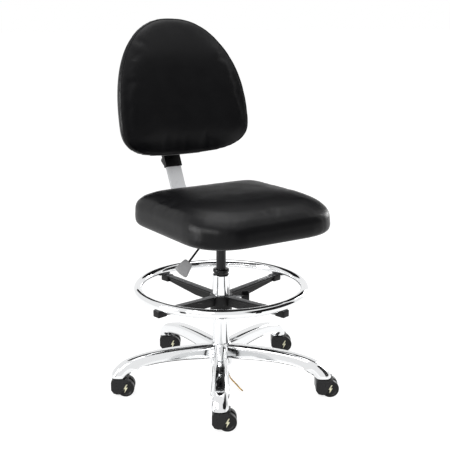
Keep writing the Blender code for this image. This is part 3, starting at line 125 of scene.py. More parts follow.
@dataclass(frozen=True)
class Finish:
    """A surface: its name, its colour and how it shines."""

    name: str
    colour: str
    roughness: float
    metallic: float = 0.0
    specular: float = 0.5

    def material(self) -> bpy.types.Material:
        """Makes the material once, and gives the same one after that.

        Returns:
            The finish as a node material.
        """
        made = bpy.data.materials.get(self.name)
        if made:
            return made
        made = bpy.data.materials.new(self.name)
        made.use_nodes = True
        tree = made.node_tree
        tree.nodes.clear()
        shader = add_node(tree, "ShaderNodeBsdfPrincipled", {
            "Base Color": srgb(self.colour), "Roughness": self.roughness,
            "Metallic": self.metallic, "Specular IOR Level": self.specular,
        })
        place = add_node(tree, "ShaderNodeTexCoord").outputs["Object"]
        self.dress(tree, shader, place)
        add_node(tree, "ShaderNodeOutputMaterial", {"Surface": shader.outputs["BSDF"]})
        return made

    def dress(self, tree: bpy.types.NodeTree, shader: bpy.types.Node, place: bpy.types.NodeSocket) -> None:
        """Adds the finish's own pattern. The plain finish has uneven gloss alone.

        Args:
            tree: the material's tree.
            shader: its Principled shader.
            place: the object coordinates.
        """
        self.vary_gloss(tree, shader, place, 12.0, 0.06)

    def vary_gloss(
        self, tree: bpy.types.NodeTree, shader: bpy.types.Node, place: bpy.types.NodeSocket,
        patch_mm: float, spread: float,
    ) -> None:
        """Lets roughness wander about its middle, as handling and wear do.

        Args:
            tree: the material's tree.
            shader: its Principled shader.
            place: the object coordinates.
            patch_mm: how wide the patches are.
            spread: how far roughness strays either way.
        """
        cloud = add_node(tree, "ShaderNodeTexNoise", {
            "Vector": place, "Scale": 1000 / patch_mm, "Detail": 4.0, "Roughness": 0.6,
        })
        span = add_node(tree, "ShaderNodeMapRange", {
            "Value": cloud.outputs["Fac"], "From Min": 0.3, "From Max": 0.7,
            "To Min": max(0.02, self.roughness - spread), "To Max": self.roughness + spread,
        })
        tree.links.new(span.outputs["Result"], shader.inputs["Roughness"])

    def tint(
        self, tree: bpy.types.NodeTree, shader: bpy.types.Node, amount: bpy.types.NodeSocket, other: str,
    ) -> None:
        """Mixes a second colour into the base colour.

        Args:
            tree: the material's tree.
            shader: its Principled shader.
            amount: how much of the second colour shows, from 0 to 1.
            other: the second colour.
        """
        mix = add_node(tree, "ShaderNodeMix", {"Factor": amount}, data_type="RGBA")
        mix.inputs[6].default_value = srgb(self.colour)
        mix.inputs[7].default_value = srgb(other)
        tree.links.new(mix.outputs[2], shader.inputs["Base Color"])

    def emboss(
        self, tree: bpy.types.NodeTree, shader: bpy.types.Node, height: bpy.types.NodeSocket,
        depth_mm: float, strength: float,
    ) -> None:
        """Raises a height pattern as bump.

        Args:
            tree: the material's tree.
            shader: its Principled shader.
            height: the pattern.
            depth_mm: the relief of a full step.
            strength: the bump's strength.
        """
        bump = add_node(tree, "ShaderNodeBump", {
            "Height": height, "Distance": depth_mm / 1000, "Strength": strength,
        })
        tree.links.new(bump.outputs["Normal"], shader.inputs["Normal"])


@dataclass(frozen=True)
class GrainedVinyl(Finish):
    """Calendered upholstery vinyl: a fine pebbled grain that breaks up the sheen."""

    grain_mm: float = 1.6  # real grain is near 0.8 mm; it is drawn coarser so that it shows

    def dress(self, tree: bpy.types.NodeTree, shader: bpy.types.Node, place: bpy.types.NodeSocket) -> None:
        """Pebbles with creases between them, on slow changes of gloss."""
        drift = add_node(tree, "ShaderNodeTexNoise", {"Vector": place, "Scale": 1000 / (3 * self.grain_mm)})
        shove = add_node(tree, "ShaderNodeVectorMath", {0: drift.outputs["Color"], "Scale": 0.0012}, operation="SCALE")
        strayed = add_node(tree, "ShaderNodeVectorMath", {0: place, 1: shove.outputs["Vector"]})
        pebbles = add_node(tree, "ShaderNodeTexVoronoi", {
            "Vector": strayed.outputs["Vector"], "Scale": 1000 / self.grain_mm,
        }, feature="DISTANCE_TO_EDGE")
        crown = add_node(tree, "ShaderNodeMapRange", {
            "Value": pebbles.outputs["Distance"], "From Max": 0.22,
        }, interpolation_type="SMOOTHSTEP")
        self.emboss(tree, shader, crown.outputs["Result"], 0.10, 0.35)
        self.vary_gloss(tree, shader, place, 45.0, 0.035)


@dataclass(frozen=True)
class PlatedChrome(Finish):
    """Decorative chrome plate on steel: a mirror, with faint wiping marks."""

    def dress(self, tree: bpy.types.NodeTree, shader: bpy.types.Node, place: bpy.types.NodeSocket) -> None:
        """Mirror gloss that clouds slightly where it is touched."""
        self.vary_gloss(tree, shader, place, 30.0, 0.025)


@dataclass(frozen=True)
class PolishedCasting(Finish):
    """Buffed aluminium die casting: bright, with the slow ripple that a buffing wheel leaves."""

    ripple_mm: float = 26.0

    def dress(self, tree: bpy.types.NodeTree, shader: bpy.types.Node, place: bpy.types.NodeSocket) -> None:
        """A shallow ripple under a slightly uneven polish."""
        ripple = add_node(tree, "ShaderNodeTexNoise", {
            "Vector": place, "Scale": 1000 / self.ripple_mm, "Detail": 1.0,
        })
        self.emboss(tree, shader, ripple.outputs["Fac"], 0.35, 0.30)
        self.vary_gloss(tree, shader, place, 18.0, 0.035)


@dataclass(frozen=True)
class PowderCoat(Finish):
    """Baked powder paint on steel: an orange-peel skin."""

    peel_mm: float = 1.8
    top_highlight: str = ""  # painted highlight: a lighter colour laid on faces that look up

    def dress(self, tree: bpy.types.NodeTree, shader: bpy.types.Node, place: bpy.types.NodeSocket) -> None:
        """Orange peel, uneven gloss and, on faces that look up, a painted highlight in patches."""
        peel = add_node(tree, "ShaderNodeTexNoise", {"Vector": place, "Scale": 1000 / self.peel_mm, "Detail": 2.0})
        self.emboss(tree, shader, peel.outputs["Fac"], 0.06, 0.30)
        self.vary_gloss(tree, shader, place, 20.0, 0.05)
        # painted highlight: faces that look up are tinted lighter, broken into patches by noise
        if self.top_highlight:
            up = add_node(tree, "ShaderNodeSeparateXYZ", {0: add_node(tree, "ShaderNodeTexCoord").outputs["Normal"]})
            top = add_node(tree, "ShaderNodeMapRange", {
                "Value": up.outputs["Z"], "From Min": 0.80, "From Max": 0.99, "To Max": 0.9,
            }, interpolation_type="SMOOTHSTEP")
            highlight_patches = add_node(tree, "ShaderNodeTexNoise", {"Vector": place, "Scale": 90.0, "Detail": 6.0})
            share = add_node(tree, "ShaderNodeMapRange", {
                "Value": highlight_patches.outputs["Fac"], "From Min": 0.30, "From Max": 0.62, "To Min": 0.55,
            })
            both = add_node(tree, "ShaderNodeMath", {
                0: top.outputs["Result"], 1: share.outputs["Result"],
            }, operation="MULTIPLY")
            self.tint(tree, shader, both.outputs["Value"], self.top_highlight)


@dataclass(frozen=True)
class MouldedPlastic(Finish):
    """Injection-moulded nylon, ABS or polypropylene: the fine matt of a spark-eroded mould."""

    spark_mm: float = 1.1  # real spark texture is finer; this is as coarse as it needs to show

    def dress(self, tree: bpy.types.NodeTree, shader: bpy.types.Node, place: bpy.types.NodeSocket) -> None:
        """Fine pits and uneven gloss."""
        pits = add_node(tree, "ShaderNodeTexNoise", {
            "Vector": place, "Scale": 1000 / self.spark_mm, "Detail": 3.0, "Roughness": 0.7,
        })
        self.emboss(tree, shader, pits.outputs["Fac"], 0.05, 0.30)
        self.vary_gloss(tree, shader, place, 9.0, 0.06)


@dataclass(frozen=True)
class DustCloth(Finish):
    """Spun-bonded dust cover: crossed fibres under a seat."""

    fibre_mm: float = 1.4

    def dress(self, tree: bpy.types.NodeTree, shader: bpy.types.Node, place: bpy.types.NodeSocket) -> None:
        """Two sets of stray fibres laid across each other."""
        heights = []
        for turn in (0.6, -0.7):
            laid = add_node(tree, "ShaderNodeMapping", {
                "Vector": place, "Rotation": (0.0, 0.0, turn), "Scale": (1.0, 5.0, 1.0),
            })
            fibres = add_node(tree, "ShaderNodeTexNoise", {
                "Vector": laid.outputs["Vector"], "Scale": 1000 / (5 * self.fibre_mm), "Detail": 2.0,
            })
            heights.append(fibres.outputs["Fac"])
        both = add_node(tree, "ShaderNodeMath", {0: heights[0], 1: heights[1]}, operation="MAXIMUM")
        self.emboss(tree, shader, both.outputs["Value"], 0.25, 0.5)
        self.tint(tree, shader, both.outputs["Value"], "#2c2c2c")


@dataclass(frozen=True)
class TarnishedBrass(Finish):
    """Ball-chain brass, bright on the crowns of its beads and brown between them."""

    def dress(self, tree: bpy.types.NodeTree, shader: bpy.types.Node, place: bpy.types.NodeSocket) -> None:
        """Patches of tarnish a few millimetres wide."""
        cloud = add_node(tree, "ShaderNodeTexNoise", {"Vector": place, "Scale": 260.0, "Detail": 3.0})
        stain = add_node(tree, "ShaderNodeMapRange", {
            "Value": cloud.outputs["Fac"], "From Min": 0.42, "From Max": 0.62,
        })
        self.tint(tree, shader, stain.outputs["Result"], "#3d2f17")
        self.vary_gloss(tree, shader, place, 6.0, 0.10)


VINYL = GrainedVinyl("black upholstery vinyl", "#08080a", 0.34, specular=0.16)
CHROME = PlatedChrome("bright chrome plate", "#e9eaeb", 0.05, 1.0)
ALUMINIUM = PolishedCasting("buffed aluminium casting", "#e6e7e8", 0.09, 1.0)
BLACK_ENAMEL = PowderCoat("black gas cylinder enamel", "#1c1c1d", 0.32, specular=0.3)
BLACK_COAT = PowderCoat("black powder coat", "#08080a", 0.30, specular=0.2)
# the spokes' tops carry a painted highlight in light grey
SPIDER_COAT = PowderCoat("black coat on cast spokes", "#0e0e0f", 0.38, specular=0.2, top_highlight="#77787a")
GREY_COAT = PowderCoat("light grey powder coat", "#d0d1d3", 0.30, peel_mm=1.4)
SHELL = MouldedPlastic("black moulded shell", "#101011", 0.42, specular=0.3, spark_mm=1.6)
KNOB = MouldedPlastic("black moulded knob", "#0e0e0f", 0.34, specular=0.25)
PADDLE = MouldedPlastic("grey moulded paddle", "#a6a6a7", 0.42)
HOOD = MouldedPlastic("charcoal nylon hood", "#161617", 0.30, specular=0.28)
WHEEL = MouldedPlastic("conductive nylon wheel", "#0c0c0d", 0.32, specular=0.25)
BUSH = MouldedPlastic("black acetal bush", "#0a0a0b", 0.24, specular=0.3)
MARK = MouldedPlastic("cream marking ink", "#f0eccb", 0.45)
ZINC = Finish("zinc-plated steel", "#b2b3b5", 0.28, 1.0)
DUST_CLOTH = DustCloth("black dust cloth", "#131313", 0.85)
BRASS = TarnishedBrass("ball-chain brass", "#c9a04c", 0.24, 1.0)


# Forms


def along(points: Sequence[Point], count: int, closed: bool = False) -> list[Vector]:
    """Resamples a smooth curve through the points.

    Args:
        points: the points that it passes through.
        count: how many points come back.
        closed: whether it runs round to its start.

    Returns:
        Points of the curve, evenly numbered between the given ones.
    """
    knots = [Vector(p) for p in points]
    legs = len(knots) if closed else len(knots) - 1

    def knot(i: int) -> Vector:
        """The knot at i, with straight run-outs at open ends."""
        if closed:
            return knots[i % len(knots)]
        if i < 0:
            return 2 * knots[0] - knots[1]
        if i >= len(knots):
            return 2 * knots[-1] - knots[-2]
        return knots[i]

    curve = []
    for step in range(count):
        place = legs * step / (count if closed else count - 1)
        leg = min(int(place), legs - 1)
        t = place - leg
        a, b, c, d = (knot(leg + k) for k in (-1, 0, 1, 2))
        curve.append(
            0.5 * (2 * b + (c - a) * t + (2 * a - 5 * b + 4 * c - d) * t**2 + (3 * b - 3 * c + d - a) * t**3)
        )
    return curve


def softened(
    corners: Sequence[Point], radius: float, closed: bool = True, steps: int = 4,
) -> list[tuple[float, float]]:
    """Rounds the corners of a flat outline.

    Args:
        corners: the outline's corners.
        radius: the largest radius; short sides get less.
        closed: whether the last corner joins the first.
        steps: faces round each corner.

    Returns:
        The outline with an arc at each inner corner.
    """
    spots = [Vector(c) for c in corners]
    outline = []
    for i, here in enumerate(spots):
        if not closed and i in (0, len(spots) - 1):
            outline.append(tuple(here))
            continue
        before = spots[i - 1] - here
        after = spots[(i + 1) % len(spots)] - here
        reach = min(radius, before.length * 0.45, after.length * 0.45)
        start = here + before.normalized() * reach
        end = here + after.normalized() * reach
        for step in range(steps + 1):
            t = step / steps
            outline.append(tuple(start.lerp(here, t).lerp(here.lerp(end, t), t)))
    return outline


class Form:
    """A closed mesh in the making."""

    def __init__(self, mesh: bpy.types.Mesh) -> None:
        """Takes over a mesh."""
        self.mesh = mesh

    @classmethod
    def of(cls, bm: bmesh.types.BMesh) -> Form:
        """Closes a bmesh into a form that faces outwards."""
        bmesh.ops.remove_doubles(bm, verts=bm.verts, dist=2e-6)
        bmesh.ops.recalc_face_normals(bm, faces=bm.faces)
        mesh = bpy.data.meshes.new("form")
        bm.to_mesh(mesh)
        bm.free()
        return cls(mesh)

    @classmethod
    def turned(cls, profile: Sequence[Point], steps: int = 96) -> Form:
        """Turns a profile about Z.

        Args:
            profile: (radius, height) points. One that starts and ends off the axis is a closed ring.
            steps: faces round the axis.

        Returns:
            The turned form.
        """
        bm = bmesh.new()
        points = [bm.verts.new((r, 0.0, z)) for r, z in profile]
        edges = [bm.edges.new(pair) for pair in zip(points, points[1:])]
        if profile[0][0] > 1e-6 or profile[-1][0] > 1e-6:
            edges.append(bm.edges.new((points[-1], points[0])))
        bmesh.ops.spin(bm, geom=points + edges, cent=(0, 0, 0), axis=(0, 0, 1), angle=2 * math.pi,
                       steps=steps, use_merge=True)
        return cls.of(bm)

    @classmethod
    def lofted(cls, rings: Sequence[Sequence[Point]], closed: bool = False) -> Form:
        """Stretches a skin over rings of as many points each.

        Args:
            rings: the sections, in order.
            closed: whether the last joins the first. Otherwise each end gets a face.

        Returns:
            The lofted form.
        """
        bm = bmesh.new()
        rows = [[bm.verts.new(p) for p in ring] for ring in rings]
        pairs = list(zip(rows, rows[1:])) + ([(rows[-1], rows[0])] if closed else [])
        for row, following in pairs:
            for i in range(len(row)):
                after = (i + 1) % len(row)
                bm.faces.new((row[i], row[after], following[after], following[i]))
        if not closed:
            bm.faces.new(rows[0])
            bm.faces.new(rows[-1])
        return cls.of(bm)

    @classmethod
    def prism(cls, outline: Sequence[Point], low: float, high: float) -> Form:
        """Raises a flat outline from one height to another."""
        return cls.lofted([[(x, y, z) for x, y in outline] for z in (low, high)])

    @classmethod
    def swept(cls, path: Sequence[Point], radius: float, sides: int = 24) -> Form:
        """Runs a round rod along a path.

        Args:
            path: the points of its middle.
            radius: the rod's radius.
            sides: faces round it.

        Returns:
            The rod, with flat ends.
        """
        points = [Vector(p) for p in path]
        rings = []
        side = None
        for i, point in enumerate(points):
            run = (points[min(i + 1, len(points) - 1)] - points[max(i - 1, 0)]).normalized()
            side = run.orthogonal().normalized() if side is None else (side - run * side.dot(run)).normalized()
            across = run.cross(side)
            turns = [2 * math.pi * k / sides for k in range(sides)]
            rings.append([point + (side * math.cos(a) + across * math.sin(a)) * radius for a in turns])
        return cls.lofted(rings)

    @classmethod
    def from_node(cls, node: str) -> Form:
        """Copies a CAD node's mesh, with its loose triangles merged."""
        bm = bmesh.new()
        bm.from_mesh(frame["nodes"][node].data)
        bmesh.ops.remove_doubles(bm, verts=bm.verts, dist=1e-5)
        mesh = bpy.data.meshes.new("form")
        bm.to_mesh(mesh)
        bm.free()
        return cls(mesh)

    def _worked(self, *modifiers: tuple[str, dict[str, object]]) -> Form:
        """Applies modifiers.

        Args:
            modifiers: the type of each, and its settings.

        Returns:
            The form that they leave.
        """
        obj = bpy.data.objects.new("work", self.mesh)
        bpy.context.collection.objects.link(obj)
        for kind, settings in modifiers:
            modifier = obj.modifiers.new(kind, kind)
            for name, value in settings.items():
                setattr(modifier, name, value)
        bpy.context.view_layer.update()
        graph = bpy.context.evaluated_depsgraph_get()
        mesh = bpy.data.meshes.new_from_object(obj.evaluated_get(graph))
        bpy.data.objects.remove(obj, do_unlink=True)
        return Form(mesh)

    def _combined(self, other: Form, operation: str) -> Form:
        """Joins or cuts with another form."""
        tool = bpy.data.objects.new("tool", other.mesh)
        bpy.context.collection.objects.link(tool)
        result = self._worked(("BOOLEAN", {"operation": operation, "object": tool, "solver": "EXACT"}))
        bpy.data.objects.remove(tool, do_unlink=True)
        return result

    def plus(self, *others: Form) -> Form:
        """Joins other forms on."""
        result = self
        for other in others:
            result = result._combined(other, "UNION")
        return result

    def minus(self, *others: Form) -> Form:
        """Cuts other forms out."""
        result = self
        for other in others:
            result = result._combined(other, "DIFFERENCE")
        return result

    def eased(self, width: float, segments: int = 3, angle: float = 35.0) -> Form:
        """Rounds the sharp edges.

        Args:
            width: how wide the rounding is.
            segments: faces across it.
            angle: edges sharper than this many degrees are rounded.

        Returns:
            The eased form.
        """
        return self._worked(("BEVEL", {
            "width": width, "segments": segments, "limit_method": "ANGLE",
            "angle_limit": math.radians(angle), "harden_normals": False,
        }))

    def cleaned(self) -> Form:
        """Merges the triangles of flat faces, so that edges can be eased."""
        bm = bmesh.new()
        bm.from_mesh(self.mesh)
        bmesh.ops.remove_doubles(bm, verts=bm.verts, dist=1e-5)
        bmesh.ops.dissolve_limit(bm, angle_limit=math.radians(1.0), verts=bm.verts, edges=bm.edges)
        bm.to_mesh(self.mesh)
        bm.free()
        return self

    def subdivided(self, levels: int) -> Form:
        """Applies a subdivision surface."""
        return self._worked(("SUBSURF", {"levels": levels, "render_levels": levels}))

    def moved(self, matrix: Matrix) -> Form:
        """Moves the form by a matrix."""
        self.mesh.transform(matrix)
        return self

    def copy(self) -> Form:
        """A copy to move elsewhere."""
        return Form(self.mesh.copy())

    def piece(
        self, name: str, finish: Finish, body: Body | str, replaces: Iterable[str] = (), angle: float = 32.0,
    ) -> bpy.types.Object:
        """Makes the finished object.

        Args:
            name: the piece's name.
            finish: its surface.
            body: the body that it rides on.
            replaces: the CAD nodes that it stands for.
            angle: edges sharper than this many degrees stay sharp.

        Returns:
            The object, at the origin.
        """
        self.mesh.materials.clear()
        self.mesh.materials.append(finish.material())
        self.mesh.polygons.foreach_set("material_index", [0] * len(self.mesh.polygons))
        self.mesh.shade_smooth()
        self.mesh.set_sharp_from_angle(angle=math.radians(angle))
        obj = bpy.data.objects.new(name, self.mesh)
        bpy.context.collection.objects.link(obj)
        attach(obj, body.value if isinstance(body, Body) else body)
        if replaces:
            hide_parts(*replaces)
        log.info("%s: %d faces", name, len(self.mesh.polygons))
        return obj


def dressed(node: str, finish: Finish) -> None:
    """Gives a CAD node, kept as it is, a proper finish."""
    mesh = frame["nodes"][node].data
    mesh.materials.clear()
    mesh.materials.append(finish.material())


def centre(node: str) -> Vector:
    """The middle of a CAD node's box."""
    low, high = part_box(node)
    return (low + high) / 2


def joint(name: str) -> dict:
    """A joint as the record gives it."""
    return next(j for j in frame["joints"] if j["name"] == name)


def standing(spot: Point, up: Point, front: Point | None = None) -> Matrix:
    """A place for a form built on Z.

    Args:
        spot: where its origin goes.
        up: where its Z points.
        front: where its X points, as nearly as it can.

    Returns:
        The matrix that puts it there.
    """
    z = Vector(up).normalized()
    x = Vector(front) if front is not None else z.orthogonal()
    y = z.cross(x).normalized()
    x = y.cross(z)
    turn = Matrix((x, y, z)).transposed().to_4x4()
    return Matrix.Translation(Vector(spot)) @ turn


def gathered(*forms: Form) -> Form:
    """Puts several closed forms in one mesh, without joining their walls."""
    bm = bmesh.new()
    for form in forms:
        bm.from_mesh(form.mesh)
    mesh = bpy.data.meshes.new("form")
    bm.to_mesh(mesh)
    bm.free()
    return Form(mesh)


def round_points(middle: Point, radius: float, start: float, end: float, steps: int) -> list[tuple[float, float]]:
    """Points of a flat arc, from one angle to another."""
    angles = [start + (end - start) * i / steps for i in range(steps + 1)]
    return [(middle[0] + radius * math.cos(a), middle[1] + radius * math.sin(a)) for a in angles]


def facing(angle: float) -> Matrix:
    """Turns +X to the level direction at an angle from -Y towards +X."""
    return Matrix.Rotation(angle - math.pi / 2, 4, "Z")


AXIS = Vector((centre("outer_column").x, centre("outer_column").y, 0.0))
AT_AXIS = Matrix.Translation(AXIS)


# Repeats


def new_tree(name: str, sockets: dict[str, str]) -> tuple[bpy.types.NodeTree, bpy.types.Node]:
    """Starts a geometry tree with named inputs.

    Args:
        name: the tree's name.
        sockets: input name to socket type.

    Returns:
        The tree and its group input.
    """
    tree = bpy.data.node_groups.new(name, "GeometryNodeTree")
    for label, kind in {"Geometry": "NodeSocketGeometry", **sockets}.items():
        tree.interface.new_socket(label, in_out="INPUT", socket_type=kind)
    tree.interface.new_socket("Geometry", in_out="OUTPUT", socket_type="NodeSocketGeometry")
    return tree, add_node(tree, "NodeGroupInput")


def close_tree(tree: bpy.types.NodeTree, geometry: bpy.types.NodeSocket, material: bpy.types.NodeSocket) -> None:
    """Ends a geometry tree in real geometry with its material."""
    real = add_node(tree, "GeometryNodeRealizeInstances", {"Geometry": geometry})
    dressed_geometry = add_node(tree, "GeometryNodeSetMaterial", {"Geometry": real.outputs[0], "Material": material})
    add_node(tree, "NodeGroupOutput", {"Geometry": dressed_geometry.outputs[0]})


def grown(tree: bpy.types.NodeTree, host: bpy.types.Object, values: dict[str, object]) -> Form:
    """Runs a geometry tree on an object and keeps the plain mesh.

    Args:
        tree: the geometry tree.
        host: the object that it works on, which is removed.
        values: input name to value.

    Returns:
        The mesh that the tree makes.
    """
    modifier = host.modifiers.new("nodes", "NODES")
    modifier.node_group = tree
    names = {item.name: item.identifier for item in tree.interface.items_tree if item.in_out == "INPUT"}
    for label, value in values.items():
        modifier[names[label]] = value
    bpy.context.collection.objects.link(host)
    bpy.context.view_layer.update()
    graph = bpy.context.evaluated_depsgraph_get()
    mesh = bpy.data.meshes.new_from_object(host.evaluated_get(graph))
    bpy.data.objects.remove(host, do_unlink=True)
    return Form(mesh)


@dataclass
class Fasteners:
    """Small heads set on a surface: screws, bolts and staples."""

    radius: float
    height: float
    sides: int = 6

    def tree(self) -> bpy.types.NodeTree:
        """The tree that sets a head at each point, along the point's aim."""
        tree, given = new_tree("fasteners", {
            "Radius": "NodeSocketFloat", "Height": "NodeSocketFloat", "Sides": "NodeSocketInt",
            "Material": "NodeSocketMaterial",
        })
        head = add_node(tree, "GeometryNodeMeshCylinder", {
            "Vertices": given.outputs["Sides"], "Radius": given.outputs["Radius"], "Depth": given.outputs["Height"],
        })
        aim = add_node(tree, "GeometryNodeInputNamedAttribute", {"Name": "aim"}, data_type="FLOAT_VECTOR")
        turn = add_node(tree, "FunctionNodeAlignRotationToVector", {"Vector": aim.outputs["Attribute"]}, axis="Z")
        set_down = add_node(tree, "GeometryNodeInstanceOnPoints", {
            "Points": given.outputs["Geometry"], "Instance": head.outputs["Mesh"],
            "Rotation": turn.outputs["Rotation"],
        })
        close_tree(tree, set_down.outputs["Instances"], given.outputs["Material"])
        return tree

    def at(self, spots: Sequence[Point], aims: Sequence[Point], finish: Finish) -> Form:
        """Sets the heads.

        Args:
            spots: where the middle of each goes.
            aims: the way that each one's axis points.
            finish: their surface.

        Returns:
            All the heads in one mesh.
        """
        mesh = bpy.data.meshes.new("spots")
        mesh.from_pydata([tuple(spot) for spot in spots], [], [])
        aim = mesh.attributes.new("aim", "FLOAT_VECTOR", "POINT")
        aim.data.foreach_set("vector", [c for a in aims for c in a])
        host = bpy.data.objects.new("spots", mesh)
        form = grown(self.tree(), host, {
            "Radius": self.radius, "Height": self.height, "Sides": self.sides, "Material": finish.material(),
        })
        return form.eased(self.height * 0.25, 2)


# Studio


@dataclass
class Studio:
    """The camera, the floor, the lamps and the cards that metal mirrors."""

    eye: tuple[float, float, float] = (-1.3083, -2.0093, 1.0528)
    pitch: float = -0.2374
    heading: float = -0.5848
    lens: float = 68.44
    floor_reach: float = 60.0
    sky_fill: float = 0.50

    def build(self) -> None:
        """Makes the camera first, then the rest."""
        data = bpy.data.cameras.new("camera")
        data.lens = self.lens
        data.sensor_width = 36.0
        data.clip_end = 200.0
        camera = bpy.data.objects.new("camera", data)
        camera.location = self.eye
        camera.rotation_euler = (math.pi / 2 + self.pitch, 0.0, self.heading)
        bpy.context.collection.objects.link(camera)
        bpy.context.scene.camera = camera
        bpy.context.scene.view_settings.view_transform = "Standard"
        self.floor()
        self.world()
        self.lamps()
        self.cards()

    def floor(self) -> None:
        """A white floor that keeps a soft shadow."""
        mesh = bpy.data.meshes.new("floor")
        reach = self.floor_reach
        corners = [(-reach, -reach, 0), (reach, -reach, 0), (reach, reach, 0), (-reach, reach, 0)]
        mesh.from_pydata([(x, y, -0.0002) for x, y, _ in corners], [], [(0, 1, 2, 3)])
        floor = bpy.data.objects.new("floor", mesh)
        bpy.context.collection.objects.link(floor)
        material = bpy.data.materials.new("white studio floor")
        material.use_nodes = True
        tree = material.node_tree
        tree.nodes.clear()
        paper = add_node(tree, "ShaderNodeBsdfDiffuse", {"Color": (0.40, 0.40, 0.40, 1.0)})
        glow = add_node(tree, "ShaderNodeEmission", {"Strength": 0.82})
        lit = add_node(tree, "ShaderNodeAddShader", {0: paper.outputs[0], 1: glow.outputs[0]})
        sight = add_node(tree, "ShaderNodeLightPath")
        seen = add_node(tree, "ShaderNodeMath", {
            0: sight.outputs["Is Camera Ray"], 1: sight.outputs["Is Glossy Ray"],
        }, operation="MAXIMUM")
        seen = add_node(tree, "ShaderNodeMath", {
            0: seen.outputs[0], 1: sight.outputs["Is Transmission Ray"],
        }, operation="MAXIMUM")
        plain = add_node(tree, "ShaderNodeBsdfDiffuse", {"Color": (0.72, 0.72, 0.72, 1.0)})
        both = add_node(tree, "ShaderNodeMixShader", {0: seen.outputs[0], 1: plain.outputs[0], 2: lit.outputs[0]})
        add_node(tree, "ShaderNodeOutputMaterial", {"Surface": both.outputs[0]})
        mesh.materials.append(material)

    def world(self) -> None:
        """White to look at and to mirror, softer as a light."""
        world = bpy.data.worlds.new("studio")
        bpy.context.scene.world = world
        world.use_nodes = True
        tree = world.node_tree
        tree.nodes.clear()
        sight = add_node(tree, "ShaderNodeLightPath")
        seen = add_node(tree, "ShaderNodeMath", {
            0: sight.outputs["Is Camera Ray"], 1: sight.outputs["Is Glossy Ray"],
        }, operation="MAXIMUM")
        seen = add_node(tree, "ShaderNodeMath", {
            0: seen.outputs[0], 1: sight.outputs["Is Transmission Ray"],
        }, operation="MAXIMUM")
        level = add_node(tree, "ShaderNodeMapRange", {
            "Value": seen.outputs[0], "To Min": self.sky_fill, "To Max": 1.0,
        })
        sky = add_node(tree, "ShaderNodeBackground", {
            "Color": (1.0, 1.0, 1.0, 1.0), "Strength": level.outputs["Result"],
        })
        add_node(tree, "ShaderNodeOutputWorld", {"Surface": sky.outputs[0]})

    def lamp(
        self, name: str, spot: Point, aim: Point, size: tuple[float, float], watts: float, sheen: bool = False,
    ) -> None:
        """Hangs one soft area lamp. One for sheen alone lights no matt surface."""
        data = bpy.data.lights.new(name, "AREA")
        data.shape = "RECTANGLE"
        data.size, data.size_y = size
        data.energy = watts
        lamp = bpy.data.objects.new(name, data)
        lamp.location = spot
        lamp.rotation_euler = (Vector(aim) - Vector(spot)).to_track_quat("-Z", "Y").to_euler()
        lamp.visible_camera = False
        lamp.visible_diffuse = not sheen
        bpy.context.collection.objects.link(lamp)

    def lamps(self) -> None:
        """A key from the left, a fill from the right, a soft top, and two tall boxes for sheen."""
        self.lamp("key", (-2.3, -1.2, 2.2), (0, 0, 0.5), (1.6, 1.6), 46)
        self.lamp("fill", (1.9, -1.9, 1.5), (0, 0, 0.5), (1.4, 1.4), 20)
        self.lamp("top", (0.3, 0.3, 3.0), (0, 0, 0.4), (1.8, 1.8), 26)
        self.lamp("left_box", (-2.4, 0.5, 1.1), (0, 0, 0.7), (0.9, 1.5), 60, True)
        self.lamp("right_box", (2.6, 0.5, 1.2), (0, 0, 0.7), (0.9, 1.5), 34, True)

    def card(self, name: str, middle: Point, aim: Point, size: tuple[float, float], shade: float) -> None:
        """Stands up a dark card that only mirrors see.

        Args:
            name: the card's name.
            middle: the card's middle.
            aim: the point that it faces.
            size: its width and height.
            shade: its grey, as light.
        """
        wide, high = size[0] / 2, size[1] / 2
        mesh = bpy.data.meshes.new(name)
        mesh.from_pydata([(-wide, -high, 0), (wide, -high, 0), (wide, high, 0), (-wide, high, 0)], [], [(0, 1, 2, 3)])
        card = bpy.data.objects.new(name, mesh)
        card.location = middle
        card.rotation_euler = (Vector(aim) - Vector(middle)).to_track_quat("Z", "Y").to_euler()
        bpy.context.collection.objects.link(card)
        card.visible_camera = False
        card.visible_diffuse = False
        card.visible_shadow = False
        card.visible_transmission = False
        material = bpy.data.materials.new(name)
        material.use_nodes = True
        tree = material.node_tree
        tree.nodes.clear()
        flat = add_node(tree, "ShaderNodeEmission", {"Color": (shade, shade, shade, 1.0)})
        add_node(tree, "ShaderNodeOutputMaterial", {"Surface": flat.outputs[0]})
        mesh.materials.append(material)

    def cards(self) -> None:
        """Dark cards: one behind and above, one in front, and two slim ones that draw lines down the column."""
        away = Vector((math.sin(-self.heading), math.cos(-self.heading), 0.0))
        across = Vector((away.y, -away.x, 0.0))
        hip = AXIS + Vector((0, 0, 0.6))
        self.card("rear_card", hip + away * 0.85 + across * 0.1 + Vector((0, 0, 0.42)), hip, (2.0, 0.66), 0.01)
        self.card("front_card", hip + Vector((0.95, -1.35, 0.45)), hip, (2.3, 1.5), 0.01)
        for name, turn in (("left_strip", -0.73), ("right_strip", 0.73)):
            way = Matrix.Rotation(-turn, 4, "Z") @ -away
            middle = AXIS + way * 0.95 + Vector((0, 0, 0.20))
            self.card(name, middle, AXIS + Vector((0, 0, 0.20)), (0.12, 0.50), 0.03)


# Drag chain


